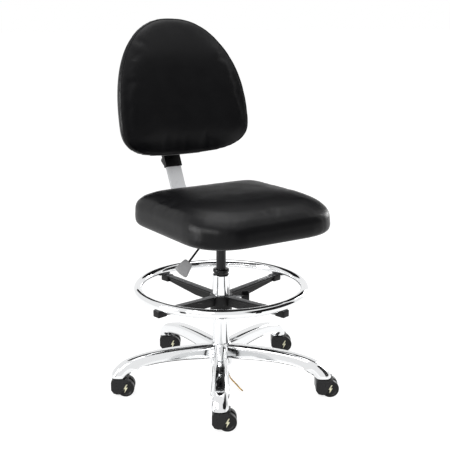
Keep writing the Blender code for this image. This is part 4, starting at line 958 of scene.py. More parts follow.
@dataclass
class DragChain:
    """The ball chain that earths the chair, from the eye under the hub to the floor."""

    bead: float = 0.0045
    pitch: float = 0.0056
    wire: float = 0.0013
    eye: tuple[float, float] = (0.02317, -0.01745)
    route: tuple[tuple[float, float, float], ...] = (
        (0.0000, 0.0000, 0.0475), (0.0001, -0.0002, 0.0300), (0.0000, -0.0020, 0.0140),
        (-0.0012, -0.0120, 0.0045), (-0.0042, -0.0292, 0.0026), (-0.0082, -0.0472, 0.0026),
        (-0.0122, -0.0652, 0.0026), (-0.0172, -0.0832, 0.0026), (-0.0202, -0.1022, 0.0026),
    )

    def tree(self) -> bpy.types.NodeTree:
        """The tree that threads beads on a wire."""
        tree, given = new_tree("ball chain", {
            "Pitch": "NodeSocketFloat", "Bead": "NodeSocketFloat", "Wire": "NodeSocketFloat",
            "Material": "NodeSocketMaterial",
        })
        line = add_node(tree, "GeometryNodeMeshToCurve", {"Mesh": given.outputs["Geometry"]})
        spaced = add_node(tree, "GeometryNodeResampleCurve", {
            "Curve": line.outputs[0], "Length": given.outputs["Pitch"],
        }, mode="LENGTH")
        radius = add_node(tree, "ShaderNodeMath", {0: given.outputs["Bead"], 1: 0.5}, operation="MULTIPLY")
        ball = add_node(tree, "GeometryNodeMeshUVSphere", {"Segments": 14, "Rings": 9, "Radius": radius.outputs[0]})
        smooth = add_node(tree, "GeometryNodeSetShadeSmooth", {"Geometry": ball.outputs["Mesh"]})
        beads = add_node(tree, "GeometryNodeInstanceOnPoints", {
            "Points": spaced.outputs[0], "Instance": smooth.outputs[0],
        })
        half = add_node(tree, "ShaderNodeMath", {0: given.outputs["Wire"], 1: 0.5}, operation="MULTIPLY")
        ring = add_node(tree, "GeometryNodeCurvePrimitiveCircle", {"Resolution": 8, "Radius": half.outputs[0]})
        core = add_node(tree, "GeometryNodeCurveToMesh", {
            "Curve": line.outputs[0], "Profile Curve": ring.outputs["Curve"], "Fill Caps": True,
        })
        both = add_node(tree, "GeometryNodeJoinGeometry", {"Geometry": beads.outputs[0]})
        tree.links.new(core.outputs[0], both.inputs["Geometry"])
        close_tree(tree, both.outputs[0], given.outputs["Material"])
        return tree

    def build(self) -> None:
        foot = Vector((*self.eye, 0.0))
        path = along([foot + Vector(p) for p in self.route], 60)
        mesh = bpy.data.meshes.new("route")
        mesh.from_pydata([tuple(p) for p in path], [(i, i + 1) for i in range(len(path) - 1)], [])
        form = grown(self.tree(), bpy.data.objects.new("route", mesh), {
            "Pitch": self.pitch, "Bead": self.bead, "Wire": self.wire, "Material": BRASS.material(),
        })
        chain = form.piece("ball_chain", BRASS, Body.BASE, ["drag_chain"])


# Padding


@dataclass
class Padding:
    """Foam under vinyl: a remeshed shape, blown up a little by cloth pressure."""

    voxel: float = 0.006
    pressure: float = 4.0
    frames: int = 20

    def plumped(self, form: Form, allowed: Callable[[Vector], float], kept: Callable[[Vector], Vector]) -> Form:
        """Blows the form up.

        Args:
            form: the closed shape to start from.
            allowed: how far a point may move, by where it started.
            kept: puts a point back on the right side of the board.

        Returns:
            The plump form, subdivided once.
        """
        shape = form._worked(
            ("REMESH", {"mode": "VOXEL", "voxel_size": self.voxel}),
            ("SMOOTH", {"factor": 0.5, "iterations": 3}),
        )
        obj = bpy.data.objects.new("pad", shape.mesh)
        bpy.context.collection.objects.link(obj)
        rest = [v.co.copy() for v in shape.mesh.vertices]
        cloth = obj.modifiers.new("cloth", "CLOTH")
        cloth.settings.quality = 4
        cloth.settings.mass = 0.3
        cloth.settings.use_pressure = True
        cloth.settings.uniform_pressure_force = self.pressure
        cloth.settings.effector_weights.gravity = 0.0
        cloth.point_cache.frame_start = 1
        cloth.point_cache.frame_end = self.frames
        for number in range(1, self.frames + 1):
            bpy.context.scene.frame_set(number)
        graph = bpy.context.evaluated_depsgraph_get()
        blown = [v.co.copy() for v in obj.evaluated_get(graph).data.vertices]
        obj.modifiers.clear()
        bpy.context.scene.frame_set(1)
        for vertex, start, end in zip(shape.mesh.vertices, rest, blown):
            move = end - start
            cap = allowed(start)
            if move.length > cap:
                move = move.normalized() * cap
            vertex.co = kept(start + move)
        bpy.data.objects.remove(obj, do_unlink=True)
        return shape._worked(("SMOOTH", {"factor": 0.5, "iterations": 3})).subdivided(1)


def eased_step(value: float, low: float, high: float) -> float:
    """A smooth climb from 0 at low to 1 at high."""
    t = min(1.0, max(0.0, (value - low) / (high - low)))
    return t * t * (3 - 2 * t)


@dataclass
class Seat:
    """The seat: pad, board with its dust cloth, and the steel under it."""

    spread: float = 1.002
    squat: float = 0.99
    rise: float = 0.0065
    staple_pitch: float = 0.034
    bolt_inset: float = 0.016
    plate: float = 0.003

    def build(self) -> None:
        """Makes the pad and what is under it."""
        self.pad()
        self.board()
        self.steel()

    def pad(self) -> None:
        """The seat cushion, crowned, with a waterfall front."""
        low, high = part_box("seat_cushion")
        middle = (low + high) / 2
        base = low.z
        scaled = Matrix.Diagonal((self.spread, self.spread, self.squat, 1))
        about = Matrix.Translation(middle) @ scaled @ Matrix.Translation(-middle)
        start = Form.from_node("seat_cushion").moved(about)
        half = (high - low) / 2

        def allowed(spot: Vector) -> float:
            """More on top and in the middle, little round the foot."""
            out = max(abs(spot.x - middle.x) / half.x, abs(spot.y - middle.y) / half.y)
            crown = 1 - eased_step(out, 0.55, 1.0)
            lift = eased_step(spot.z, base + 0.004, base + 0.045)
            return lift * (0.0030 + self.rise * crown)

        def kept(spot: Vector) -> Vector:
            """No lower than the board."""
            return Vector((spot.x, spot.y, max(spot.z, base)))

        pad = Padding().plumped(start, allowed, kept).piece("seat_pad", VINYL, Body.SEAT, ["seat_cushion"], 180)

    def board(self) -> None:
        """The board under its dust cloth, with staples round the edge."""
        low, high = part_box("seat_board")
        rim = self.rim()
        board = Form.prism(rim, low.z, high.z).eased(0.0016, 3)
        board.piece("dust_cloth", DUST_CLOTH, Body.SEAT, ["seat_board"])
        middle = Vector((centre("seat_board").x, centre("seat_board").y))
        inset = [p * 0.955 + middle * 0.045 for p in map(Vector, rim)]
        around = sum((b - a).length for a, b in zip(inset, inset[1:] + inset[:1]))
        count = int(around / self.staple_pitch)
        spots, aims = [], []
        for i in range(count):
            place = i * len(inset) / count
            here, there = inset[int(place) % len(inset)], inset[(int(place) + 1) % len(inset)]
            spot = here.lerp(there, place - int(place))
            run = (there - here).normalized() if (there - here).length > 1e-6 else Vector((1, 0))
            spots.append((spot.x, spot.y, low.z - 0.0001))
            aims.append((run.x, run.y, 0.0))
        staples = Fasteners(0.0005, 0.010, 6).at(spots, aims, ZINC)
        staples.piece("cloth_staples", ZINC, Body.SEAT)

    def rim(self) -> list[tuple[float, float]]:
        """The board's outline, smoothed from its own corners."""
        mesh = frame["nodes"]["seat_board"].data
        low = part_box("seat_board")[0].z
        edge = {(round(v.co.x, 5), round(v.co.y, 5)) for v in mesh.vertices if v.co.z < low + 0.001}
        middle = centre("seat_board")
        far = {}
        for x, y in edge:
            angle = math.atan2(y - middle.y, x - middle.x)
            reach = math.hypot(x - middle.x, y - middle.y)
            if reach > 0.115:
                far[round(angle, 3)] = (x, y)
        ordered = [far[a] for a in sorted(far)]
        return [tuple(p) for p in along(ordered, len(ordered) * 4, True)]

    def steel(self) -> None:
        """The mechanism with softened edges, its pin and the four bolts through its plate."""
        low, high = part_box("seat_mechanism")
        body = Form.from_node("seat_mechanism").cleaned().eased(0.0009, 2)
        body.piece("mechanism", BLACK_COAT, Body.SEAT, ["seat_mechanism"])
        inset = self.bolt_inset
        across, along_seat = (low.x + inset, high.x - inset), (low.y + inset, high.y - inset)
        spots = [(x, y, high.z - self.plate - 0.0018) for x in across for y in along_seat]
        bolts = Fasteners(0.0062, 0.0036, 6).at(spots, [(0, 0, 1)] * 4, ZINC)
        bolts.piece("plate_bolts", ZINC, Body.SEAT)
        dressed("lever_pin", ZINC)


@dataclass
class Backrest:
    """The back: pad, welt, moulded shell, and the sleeve on the upright."""

    half_width: float = 0.2186
    height: float = 0.407
    widest: float = 0.2566
    lower_power: float = 3.3
    upper_power: float = 2.2
    wrap: float = 0.0375
    tilt: float = math.radians(10.6)
    boxing: float = 0.022
    depth: float = 0.055
    board: float = 0.010
    board_inset: float = 0.006
    welt: float = 0.0016

    def outline(self, inset: float, steps: int = 30) -> list[tuple[float, float]]:
        """The back from the front, as (x, up): wide and square below, round above."""
        low = self.widest * self.height
        high = self.height - low
        half = []
        for i in reversed(range(steps)):
            lift = math.sin(math.pi / 2 * i / steps)
            half.append(((1 - lift**self.lower_power) ** (1 / self.lower_power), low - low * lift))
        for i in range(1, steps + 1):
            lift = math.sin(math.pi / 2 * i / steps)
            half.append((max(0.0, 1 - lift**self.upper_power) ** (1 / self.upper_power), low + high * lift))
        middle = self.height / 2
        half = [(0.0, 0.0)] + half
        right = [
            (x * (self.half_width - inset), middle + (up - middle) * (1 - inset / middle)) for x, up in half
        ]
        return right + [(-x, up) for x, up in reversed(right[1:-1])]

    def place(self, x: float, up: float, level: float) -> Vector:
        """A point of the back: level is how far it lies in front of the shell's rear face."""
        origin = self.origin
        out = -level - self.wrap * (x / 0.2) ** 2
        lean, stand = math.sin(self.tilt), math.cos(self.tilt)
        return origin + Vector((x, out * stand + up * lean, -out * lean + up * stand))

    @cached_property
    def origin(self) -> Vector:
        """Where up and level are nought: worked out from the shell's top, which the CAD gives."""
        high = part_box("back_board")[1]
        top = self.height / 2 + self.height / 2 * (1 - self.board_inset / (self.height / 2))
        return Vector((AXIS.x, high.y - top * math.sin(self.tilt), high.z - top * math.cos(self.tilt)))

    def level(self, spot: Vector) -> float:
        """How far a point lies in front of the shell's rear face."""
        local = spot - self.origin
        out = local.y * math.cos(self.tilt) - local.z * math.sin(self.tilt)
        return -out - self.wrap * (local.x / 0.2) ** 2

    def build(self) -> None:
        """Makes the pad, its welt, the shell and the sleeve."""
        pad = self.pad()
        self.seam(pad)
        self.shell()
        self.sleeve()

    def dome(self, rear: float) -> Form:
        """The pad before it is blown up: a boxed edge, then one smooth crown.

        Args:
            rear: how far its rear face lies in front of the shell's.

        Returns:
            The closed form.
        """
        middle = self.height * 0.46
        levels = [(share, rear, self.board_inset) for share in (0.02, 0.35, 0.70, 1.0)]
        levels += [(1.0, rear + 0.001, 0.001), (1.0, self.boxing, -0.0005)]
        for share in (0.992, 0.975, 0.95, 0.91, 0.85, 0.77, 0.66, 0.52, 0.36, 0.18, 0.02):
            rise = (1 - share**2.6) ** 0.5
            levels.append((share, self.boxing + (self.depth - self.boxing) * rise, 0.0))
        rings = [
            [self.place(x * share, middle + (up - middle) * share, level) for x, up in self.outline(inset)]
            for share, level, inset in levels
        ]
        return Form.lofted(rings)

    def pad(self) -> bpy.types.Object:
        """The back cushion, fullest in its middle."""
        rear = self.board + 0.0003
        origin = self.origin
        start = self.dome(rear)

        def allowed(spot: Vector) -> float:
            """Most in the middle of the front face, none against the shell."""
            up = (spot.z - origin.z) / (self.height * math.cos(self.tilt))
            out = max(abs(spot.x - origin.x) / self.half_width, abs(up - 0.48) * 2)
            crown = 1 - eased_step(out, 0.45, 1.0)
            lift = eased_step(self.level(spot), rear + 0.003, self.boxing + 0.010)
            return lift * (0.0016 + 0.0050 * crown)

        def kept(spot: Vector) -> Vector:
            """In front of the shell."""
            short = rear - self.level(spot)
            if short <= 0:
                return spot
            return spot + Vector((0, -math.cos(self.tilt), math.sin(self.tilt))) * short

        pad = Padding().plumped(start, allowed, kept).piece("back_pad", VINYL, Body.BACKREST, ["back_cushion"], 180)
        return pad

    def seam(self, pad: bpy.types.Object) -> None:
        """A fine welt where the front panel meets the boxing, laid on the pad's own surface."""
        surface = BVHTree.FromPolygons(
            [v.co for v in pad.data.vertices], [tuple(p.vertices) for p in pad.data.polygons],
        )
        spots = []
        for x, up in self.outline(0.004, 40):
            guess = self.place(x, up, self.boxing + 0.006)
            hit = surface.find_nearest(guess)
            spots.append(hit[0])
        path = along(spots, 260, True)
        rings = []
        for i, spot in enumerate(path):
            run = (path[(i + 1) % len(path)] - path[i - 1]).normalized()
            normal = surface.find_nearest(spot)[1]
            side = run.cross(normal).normalized()
            up = side.cross(run)
            turns = [2 * math.pi * k / 10 for k in range(10)]
            rings.append([spot + (side * math.cos(a) + up * math.sin(a)) * self.welt for a in turns])
        welt = Form.lofted(rings, closed=True).piece("back_welt", VINYL, Body.BACKREST, (), 180)
        log.info("%s follows %d points", welt.name, len(spots))

    def shell(self) -> None:
        """The moulded shell behind the pad, with a rolled edge."""
        rings = []
        for share, level in (
            (0.02, 0.0), (0.4, 0.0), (0.75, 0.0), (0.96, 0.0), (0.985, 0.0006), (0.997, 0.0022),
            (1.0, 0.0045), (1.0, self.board), (0.96, self.board), (0.5, self.board), (0.02, self.board),
        ):
            middle = self.height * 0.46
            rings.append([
                self.place(x * share, middle + (up - middle) * share, level)
                for x, up in self.outline(self.board_inset)
            ])
        Form.lofted(rings).piece("back_shell", SHELL, Body.BACKREST, ["back_board"])

    def sleeve(self) -> None:
        """The sleeve and its bracket, with softened edges."""
        body = Form.from_node("back_sleeve").cleaned().eased(0.0010, 2)
        body.piece("bar_sleeve", BLACK_COAT, Body.BACKREST, ["back_sleeve"])


@dataclass
class Upright:
    """The flat steel bar that carries the back."""

    edge: float = 0.0016

    def build(self) -> None:
        """The bar, with its long edges rolled."""
        bar = Form.from_node("back_upright").cleaned().eased(self.edge, 3, 50)
        bar.piece("flat_bar", GREY_COAT, Body.BACK_ARM, ["back_upright"])


# Knobs


@dataclass
class HandKnob:
    """A lobed hand knob on its stud."""

    node: str
    joint_name: str
    body: Body
    radius: float
    length: float
    lobes: int = 6
    grip: float = 0.0016

    def build(self) -> None:
        """Turns the knob about its own joint's axis."""
        turning = joint(self.joint_name)
        aim = Vector(turning["axis"]).normalized()
        if (centre(self.node) - centre(f"{self.node}_stud")).dot(aim) < 0:
            aim = -aim
        start = centre(self.node) - aim * self.length / 2
        steps = self.lobes * 14
        rings = []
        for share, inset in (
            (0.0, 0.0040), (0.02, 0.0022), (0.07, 0.0008), (0.16, 0.0), (0.5, 0.0), (0.84, 0.0),
            (0.93, 0.0006), (0.98, 0.0018), (1.0, 0.0034), (1.0, 0.0075), (0.965, 0.0082), (0.965, 0.0120),
        ):
            ring = []
            for i in range(steps):
                angle = 2 * math.pi * i / steps
                fluted = self.grip * ((1 - math.cos(self.lobes * angle)) / 2) ** 1.5
                reach = self.radius - inset - fluted * max(0.0, 1 - inset / 0.005)
                ring.append((reach * math.cos(angle), reach * math.sin(angle), share * self.length))
            rings.append(ring)
        knob = Form.lofted(rings).moved(standing(start, aim))
        knob.piece(f"{self.node}_grip", KNOB, self.body, [self.node], 50)
        dressed(f"{self.node}_stud", ZINC)


# Lift and base


@dataclass
class LiftColumn:
    """The chromed column, its guide bush and the cylinder that slides in it."""

    wall: float = 0.0025

    def build(self) -> None:
        """Turns the column, the bush and the cylinder."""
        low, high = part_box("outer_column")
        radius = (high.x - low.x) / 2
        bore = radius - self.wall
        column = Form.turned([
            (bore, high.z - 0.0004), (radius - 0.0014, high.z), (radius - 0.0005, high.z - 0.0003),
            (radius, high.z - 0.0012), (radius, low.z + 0.0010), (radius - 0.0010, low.z), (0.0056, low.z),
            (0.0056, low.z + 0.003), (bore, low.z + 0.003),
        ], 128)
        column.moved(AT_AXIS).piece("chrome_column", CHROME, Body.BASE, ["outer_column"], 25)
        self.bush(bore)
        self.cylinder()
        for node in ("piston_rod", "retaining_clip", "thrust_bearing", "release_button", "chain_screw_eye"):
            dressed(node, ZINC)

    def bush(self, bore: float) -> None:
        """The guide bush: a two-tier flange over the column's mouth."""
        low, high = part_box("column_collar")
        top = high.z
        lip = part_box("outer_column")[1].z + 0.0003
        radius = (high.x - low.x) / 2
        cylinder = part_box("gas_cylinder")
        hole = (cylinder[1].x - cylinder[0].x) / 2 + 0.0003
        tier = lip + (top - lip) * 0.52
        bush = Form.turned([
            (hole, top - 0.0006), (hole + 0.0008, top), (radius - 0.0020, top), (radius - 0.0006, top - 0.0006),
            (radius, top - 0.0020), (radius, tier + 0.0006), (radius - 0.0006, tier), (radius - 0.0022, tier - 0.0004),
            (radius - 0.0024, tier - 0.0012), (radius - 0.0024, lip + 0.0006), (radius - 0.0030, lip),
            (bore - 0.0003, lip), (bore - 0.0003, low.z), (hole, low.z),
        ], 96)
        bush.moved(AT_AXIS).piece("guide_bush", BUSH, Body.BASE, ["column_collar"], 30)

    def cylinder(self) -> None:
        """The gas cylinder, tapered where it sits in the seat."""
        low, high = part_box("gas_cylinder")
        radius = (high.x - low.x) / 2
        cylinder = Form.turned([
            (0.0026, high.z), (radius - 0.0016, high.z), (radius - 0.0009, high.z - 0.0010),
            (radius, high.z - 0.030), (radius, low.z + 0.0010), (radius - 0.0010, low.z), (0.0054, low.z),
            (0.0054, low.z + 0.012), (radius - 0.0028, low.z + 0.012), (radius - 0.0028, high.z - 0.012),
            (0.0026, high.z - 0.012),
        ], 80)
        cylinder.moved(AT_AXIS).piece("gas_spring", BLACK_ENAMEL, Body.SEAT, ["gas_cylinder"], 25)


@dataclass
class BaseStar:
    """The polished five-arm base."""

    arms: int = 5
    turn: float = math.radians(-33.9)
    stem_circle: float = 0.307
    arm_top: float = 0.1215
    depth: float = 0.0375
    half_width: float = 0.0215
    wall: float = 0.005
    socket_bottom: float = 0.0549
    socket_half_length: float = 0.0235
    socket_half_width: float = 0.0250
    hub_top: float = 0.1250
    hub_bottom: float = 0.058
    section: tuple[tuple[float, float], ...] = (
        (0.0, 0.0), (0.42, 0.015), (0.66, 0.09), (0.80, 0.24), (0.92, 0.60), (1.0, 0.93), (0.96, 1.0),
    )

    def stations(self) -> list[tuple[tuple[float, float], tuple[float, float], float]]:
        """Back point, belly point and half width along an arm, from the hub out."""
        tip = self.stem_circle + self.socket_half_length
        heel = self.stem_circle - self.socket_half_length
        top, belly, half = self.arm_top, self.arm_top - self.depth, self.half_width
        shoulder = self.stem_circle - 0.052
        root_half = 0.0265 * math.tan(math.pi / self.arms) - 0.001
        foot = self.socket_bottom
        return [
            ((0.0265, top - 0.001), (0.0265, belly), root_half),
            ((0.060, top), (0.060, belly + 0.001), half),
            ((0.110, top), (0.110, belly + 0.0045), half),
            ((0.160, top - 0.0015), (0.160, belly + 0.0055), half),
            ((0.210, top - 0.0055), (0.206, belly + 0.0035), half),
            ((shoulder, top - 0.0135), (shoulder - 0.012, belly - 0.002), half + 0.0005),
            ((self.stem_circle - 0.017, top - 0.025), (heel - 0.018, belly - 0.010), half + 0.0015),
            ((tip - 0.0165, top - 0.041), (heel - 0.006, belly - 0.0185), half + 0.0025),
            ((tip - 0.004, foot + 0.011), (heel - 0.001, foot + 0.005), self.socket_half_width),
            ((tip, foot), (heel, foot), self.socket_half_width),
        ]

    def ring(self, back: Point, belly: Point, half: float, roundness: float) -> list[Vector]:
        """One section: a ridged channel shape that turns into an oval at the socket."""
        back_point = Vector((back[0], 0.0, back[1]))
        belly_point = Vector((belly[0], 0.0, belly[1]))
        sides = [(across, down, 1) for across, down in self.section]
        sides += [(across, down, -1) for across, down in reversed(self.section[1:])]
        ring = []
        for across, down, sign in sides:
            turn = math.pi * down
            oval_across = math.sin(turn)
            if down in (0.0, 1.0):
                oval_across = 0.25 if down else 0.0
            wide = across + (oval_across - across) * roundness
            deep = down + ((1 - math.cos(turn)) / 2 - down) * roundness
            point = back_point.lerp(belly_point, deep)
            point.y = sign * half * wide
            ring.append(point)
        return ring

    def fine(self, rings: Sequence[Sequence[Vector]], lengthways: int, round_about: int) -> Form:
        """A loft through a few sections, resampled both ways.

        Args:
            rings: the sections.
            lengthways: how many sections come out.
            round_about: how many points each has.

        Returns:
            The smooth loft.
        """
        columns = [along([ring[i] for ring in rings], lengthways) for i in range(len(rings[0]))]
        fine_rings = [along([column[k] for column in columns], round_about, True) for k in range(lengthways)]
        return Form.lofted(fine_rings)

    def arm(self) -> Form:
        """One arm along +X, with the channel under it."""
        stations = self.stations()
        rings = [
            self.ring(back, belly, half, max(0.0, (i - 6) / (len(stations) - 7)))
            for i, (back, belly, half) in enumerate(stations)
        ]
        body = self.fine(rings, 64, 60)
        cutters = []
        for back, belly, half in stations[1:6]:
            share = self.wall / (back[1] - belly[1])
            inner = (back[0] + (belly[0] - back[0]) * share, back[1] - self.wall)
            cutters.append(self.ring(inner, (belly[0], belly[1] - 0.006), half - self.wall, 0.0))
        return body.minus(self.fine(cutters, 20, 40))

    def build(self) -> None:
        """The hub and five arms."""
        lip, wide = 0.0280, 0.0325
        hub = Form.turned([
            (0.0253, self.hub_top), (lip - 0.0008, self.hub_top), (lip, self.hub_top - 0.0006),
            (lip + 0.0006, self.hub_top - 0.003), (lip, self.hub_top - 0.0055), (lip - 0.0010, self.hub_top - 0.0075),
            (lip - 0.0002, self.arm_top - 0.0085), (wide - 0.003, self.arm_top - 0.016),
            (wide, self.arm_top - self.depth - 0.003), (wide, self.hub_bottom + 0.001),
            (wide - 0.001, self.hub_bottom), (0.0253, self.hub_bottom),
        ], 128)
        arm = self.arm()
        parts = [hub]
        for number in range(self.arms):
            parts.append(arm.copy().moved(facing(self.turn + number * 2 * math.pi / self.arms)))
        star = gathered(*parts).moved(AT_AXIS)
        star.piece("star_base", ALUMINIUM, Body.BASE, ["base_star"], 38)


@dataclass
class Footring:
    """The chromed ring, its cast spider and the clamp's sleeve."""

    tube_radius: float = 0.0127
    turn: float = math.radians(11.8)
    spokes: int = 4
    hub_radius: float = 0.0330
    bore: float = 0.0286
    hub_height: float = 0.0616
    hub_drop: float = 0.0086
    spoke_top: float = 0.020
    spoke_foot: float = 0.013
    spoke_depth: float = 0.029
    pad_length: float = 0.031
    pad_width: float = 0.026
    pad_depth: float = 0.019
    pad_short: float = 0.0035
    spoke_end_depth: float = 0.0155

    def build(self) -> None:
        """The ring, the spider, the sleeve and the screws."""
        low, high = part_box("footring_tube")
        radius = (high.x - low.x) / 2 - self.tube_radius
        level = (high.z + low.z) / 2
        circle = round_points((radius, level), self.tube_radius, 0, -2 * math.pi, 36)[:-1]
        ring = Form.turned(circle, 180).moved(AT_AXIS)
        ring.piece("chrome_ring", CHROME, Body.FOOTRING, ["footring_tube"], 180)
        self.spider(radius + self.tube_radius - self.pad_short, level - self.tube_radius - 0.0003)
        dressed("ring_collet", BUSH)
        for number in range(1, self.spokes + 1):
            dressed(f"ring_screw_{number}", ZINC)

    def across(self, reach: float, top: float, depth: float) -> list[tuple[float, float, float]]:
        """A section across a spoke: a T with softened edges."""
        upper, lower = self.spoke_top / 2, self.spoke_foot / 2
        corners = [
            (upper, 0.0), (upper, -0.0050), (lower, -0.0080), (lower, -depth),
            (-lower, -depth), (-lower, -0.0080), (-upper, -0.0050), (-upper, 0.0),
        ]
        return [(reach, y, top + z) for y, z in softened(corners, 0.0014, True, 3)]

    def spider(self, reach: float, top: float) -> None:
        """The hub, four spokes and their end pads.

        Args:
            reach: how far the pads' ends are from the axis.
            top: the height of the pads' tops.
        """
        hub_top = top - self.hub_drop
        hub_low = hub_top - self.hub_height
        wide = self.hub_radius
        hub = Form.turned([
            (self.bore, hub_top), (wide - 0.0018, hub_top), (wide - 0.0005, hub_top - 0.0005),
            (wide, hub_top - 0.0018), (wide, hub_top - self.spoke_depth), (wide - 0.002, hub_low + 0.001),
            (wide - 0.003, hub_low), (self.bore, hub_low),
        ], 96)
        inner = reach - self.pad_length
        spoke = Form.lofted([
            self.across(self.bore + 0.001, hub_top - 0.0008, self.spoke_depth),
            self.across(wide + 0.070, hub_top + 0.002, self.spoke_depth),
            self.across(inner + 0.010, top - 0.001, self.spoke_end_depth),
        ])
        plan = softened([
            (inner, -self.pad_width / 2), (reach, -self.pad_width / 2),
            (reach, self.pad_width / 2), (inner, self.pad_width / 2),
        ], 0.004, True, 4)
        pad = Form.prism(plan, top - self.pad_depth, top).eased(0.0022, 3)
        parts = [hub]
        for number in range(self.spokes):
            turn = facing(self.turn + number * 2 * math.pi / self.spokes)
            parts += [spoke.copy().moved(turn), pad.copy().moved(turn)]
        spider = gathered(*parts).moved(AT_AXIS)
        spider.piece("cast_spider", SPIDER_COAT, Body.FOOTRING, ["footring_spider"])


# Casters


@dataclass
class Caster:
    """A twin-wheel caster: hood, stem, two wheels and the mark on each."""

    number: int
    wheel_radius: float = 0.025
    wheel_width: float = 0.0167
    web: float = 0.012
    trail: float = 0.020
    heading: float = math.radians(-33.2)
    gap: float = 0.0006
    wall: float = 0.002

    @property
    def hood_radius(self) -> float:
        """Outside of the hood over the wheels."""
        return self.wheel_radius + self.gap + self.wall

    def hood(self) -> Form:
        """The hood, in the caster's own axes: stem on Z, wheels on +X."""
        top = self.wheel_radius + self.hood_radius
        half = self.web / 2 + self.wheel_width + self.gap + self.wall
        front, corner, low = -0.021, 0.010, 0.008
        middle = (self.trail, self.wheel_radius)
        roof = round_points(middle, self.hood_radius, math.pi / 2 - math.radians(18), math.pi / 2, 8)
        nose = round_points((front + corner, top - corner), corner, math.pi / 2, math.pi, 10)
        lean = math.tan(math.atan2(0.018, 0.034))
        foot = (roof[0][0] - (roof[0][1] - low) * lean, low)
        side = roof + nose + [(front, 0.021), (front + 0.007, low + 0.003), (front + 0.016, low), foot]
        lie = Matrix.Rotation(math.pi / 2, 4, "X")
        at_wheel = Matrix.Translation((self.trail, 0, self.wheel_radius))
        body = Form.prism(side, -half, half).moved(lie)
        web = Form.turned([
            (0, self.web / 2 + 0.001), (self.wheel_radius - 0.005, self.web / 2 + 0.001),
            (self.wheel_radius - 0.005, -self.web / 2 - 0.001), (0, -self.web / 2 - 0.001),
        ], 48).moved(lie).moved(at_wheel)
        body = body.plus(web)
        inner, outer = self.web / 2, self.web / 2 + self.wheel_width + self.gap
        for start, end in ((-outer, -inner), (inner, outer)):
            pocket = Form.turned([
                (0, end), (self.wheel_radius + self.gap, end), (self.wheel_radius + self.gap, start), (0, start),
            ], 72).moved(lie).moved(at_wheel)
            body = body.minus(pocket)
        return body.cleaned().eased(0.0014, 3, 40)

    def wheel(self) -> Form:
        """One wheel standing on Z: tread, dished face and hub cap."""
        rim, wide = self.wheel_radius, self.wheel_width
        return Form.turned([
            (0, wide - 0.0016), (0.0048, wide - 0.0016), (0.0054, wide - 0.0012), (0.0060, wide - 0.0018),
            (rim - 0.0078, wide - 0.0018), (rim - 0.0066, wide - 0.0004), (rim - 0.0058, wide),
            (rim - 0.0026, wide), (rim - 0.0012, wide - 0.0005), (rim - 0.0003, wide - 0.0014), (rim, wide - 0.0028),
            (rim, 0.0030), (rim - 0.0003, 0.0014), (rim - 0.0012, 0.0005), (rim - 0.0026, 0.0),
            (0.0033, 0.0), (0.0033, wide - 0.0035), (0, wide - 0.0035),
        ], 80)

    def mark(self) -> Form:
        """A plain bolt symbol, raised a little, on the wheel's outer face."""
        outline = [
            (0.0022, 0.0125), (-0.0058, -0.0012), (-0.0008, -0.0012), (-0.0028, -0.0125),
            (0.0060, 0.0026), (0.0012, 0.0026), (0.0056, 0.0125),
        ]
        return Form.prism(outline, self.wheel_width - 0.0022, self.wheel_width + 0.0002)

    def build(self, hood: Form, wheel: Form, mark: Form) -> None:
        """Sets one caster under its stem.

        Args:
            hood: the hood, in its own axes.
            wheel: a wheel, standing on Z.
            mark: the mark, standing on Z.
        """
        name = f"caster_{self.number}"
        stem = centre(f"{name}_stem")
        stand = Matrix.Translation((stem.x, stem.y, 0)) @ Matrix.Rotation(self.heading, 4, "Z")
        hood.copy().moved(stand).piece(f"{name}_cover", HOOD, name, [f"{name}_hood"], 30)
        dressed(f"{name}_stem", ZINC)
        dressed(f"{name}_axle", ZINC)
        axle = stand @ Matrix.Translation((self.trail, 0, self.wheel_radius))
        inner = self.web / 2 + 0.0003
        for side, sign in (("left", 1), ("right", -1)):
            out = axle @ Matrix.Translation((0, sign * inner, 0)) @ Matrix.Rotation(-sign * math.pi / 2, 4, "X")
            body = f"{name}_{side}"
            wheel.copy().moved(out).piece(f"{name}_tread_{side}", WHEEL, body, [f"{name}_wheel_{side}"], 30)
            upright = out @ Matrix.Rotation(math.pi if sign > 0 else 0.0, 4, "Z")
            mark.copy().moved(upright).piece(f"{name}_bolt_{side}", MARK, body)


# Height lever


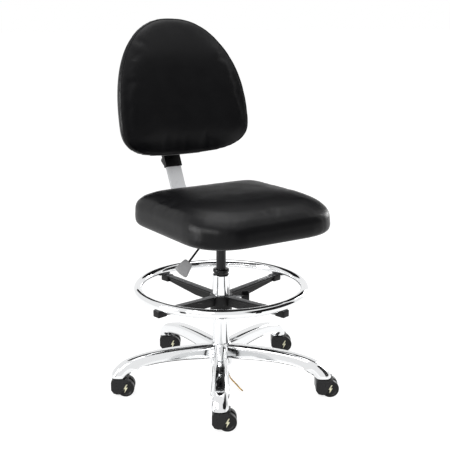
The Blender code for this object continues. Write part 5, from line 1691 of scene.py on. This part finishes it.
@dataclass
class HeightLever:
    """The bent rod that works the lift, and its paddle."""

    slope: float = math.radians(45.4)
    rod: float = 0.006
    rod_length: float = 0.121
    paddle_length: float = 0.042
    neck_width: float = 0.032
    end_width: float = 0.049
    thickness: float = 0.010
    socket: float = 0.016

    def build(self) -> None:
        """The rod with its barrel, and the paddle."""
        pivot = centre("lever_pin")
        out = Vector((-math.cos(self.slope), 0, -math.sin(self.slope)))
        knee = [
            pivot + Vector((0.038, 0, 0)), pivot + Vector((0.022, 0, 0)), pivot + Vector((0.008, 0, 0)),
            pivot + Vector((-0.0012, 0, -0.0008)), pivot + out * 0.008, pivot + out * 0.022,
            pivot + out * (self.rod_length - 0.004),
        ]
        rod = Form.swept(along(knee, 60), self.rod / 2, 28)
        barrel = Form.turned([
            (0.0023, 0.006), (0.0049, 0.006), (0.0055, 0.0054), (0.0055, -0.0054), (0.0049, -0.006), (0.0023, -0.006),
        ], 40).moved(standing(pivot, (0, 1, 0)))
        gathered(rod, barrel).piece("lever_rod", BLACK_COAT, Body.LEVER, ["height_lever"], 40)
        self.paddle(pivot, out)

    def paddle(self, pivot: Vector, out: Vector) -> None:
        """A flared paddle with a soft raised middle."""
        neck = self.rod_length - self.socket
        far = neck + self.paddle_length
        plan = softened([
            (neck, -self.neck_width / 2 + 0.004), (neck + 0.004, -self.neck_width / 2),
            (far - 0.004, -self.end_width / 2), (far, -self.end_width / 2 + 0.005), (far + 0.002, 0.0),
            (far, self.end_width / 2 - 0.005), (far - 0.004, self.end_width / 2),
            (neck + 0.004, self.neck_width / 2), (neck, self.neck_width / 2 - 0.004),
        ], 0.004, True, 4)
        rings = []
        for share, level in (
            (0.10, 0.50), (0.60, 0.50), (0.86, 0.46), (0.95, 0.34), (0.99, 0.18), (1.0, 0.0),
            (0.99, -0.18), (0.95, -0.34), (0.86, -0.46), (0.60, -0.50), (0.10, -0.50),
        ):
            middle = (neck + far) / 2
            rings.append([(middle + (x - middle) * share, y * share, level * self.thickness) for x, y in plan])
        across = Vector((0, 1, 0))
        stand = Matrix((out, across, out.cross(across))).transposed().to_4x4()
        turn = Matrix.Translation(pivot) @ stand @ Matrix.Rotation(math.pi / 2, 4, "X")
        Form.lofted(rings).moved(turn).piece("paddle_grip", PADDLE, Body.LEVER, ["lever_paddle"], 180)


def main() -> None:
    """Builds the chair in order: camera and chain first, then each sub-assembly."""
    logging.basicConfig(level=logging.INFO, format="%(name)s %(message)s")
    Studio().build()
    DragChain().build()
    LiftColumn().build()
    BaseStar().build()
    first = Caster(1)
    hood, wheel, mark = first.hood(), first.wheel(), first.mark()
    for number in range(1, 6):
        Caster(number).build(hood, wheel, mark)
    Footring().build()
    HeightLever().build()
    Seat().build()
    Upright().build()
    Backrest().build()
    for knob in (
        HandKnob("ring_knob", "ring_knob_turn", Body.RING_CLAMP, 0.0165, 0.023),
        HandKnob("depth_knob", "depth_knob_turn", Body.SEAT_CLAMP, 0.018, 0.020),
        HandKnob("back_knob", "back_knob_turn", Body.BACK_CLAMP, 0.018, 0.020),
    ):
        knob.build()


if __name__ == "__main__":
    main()
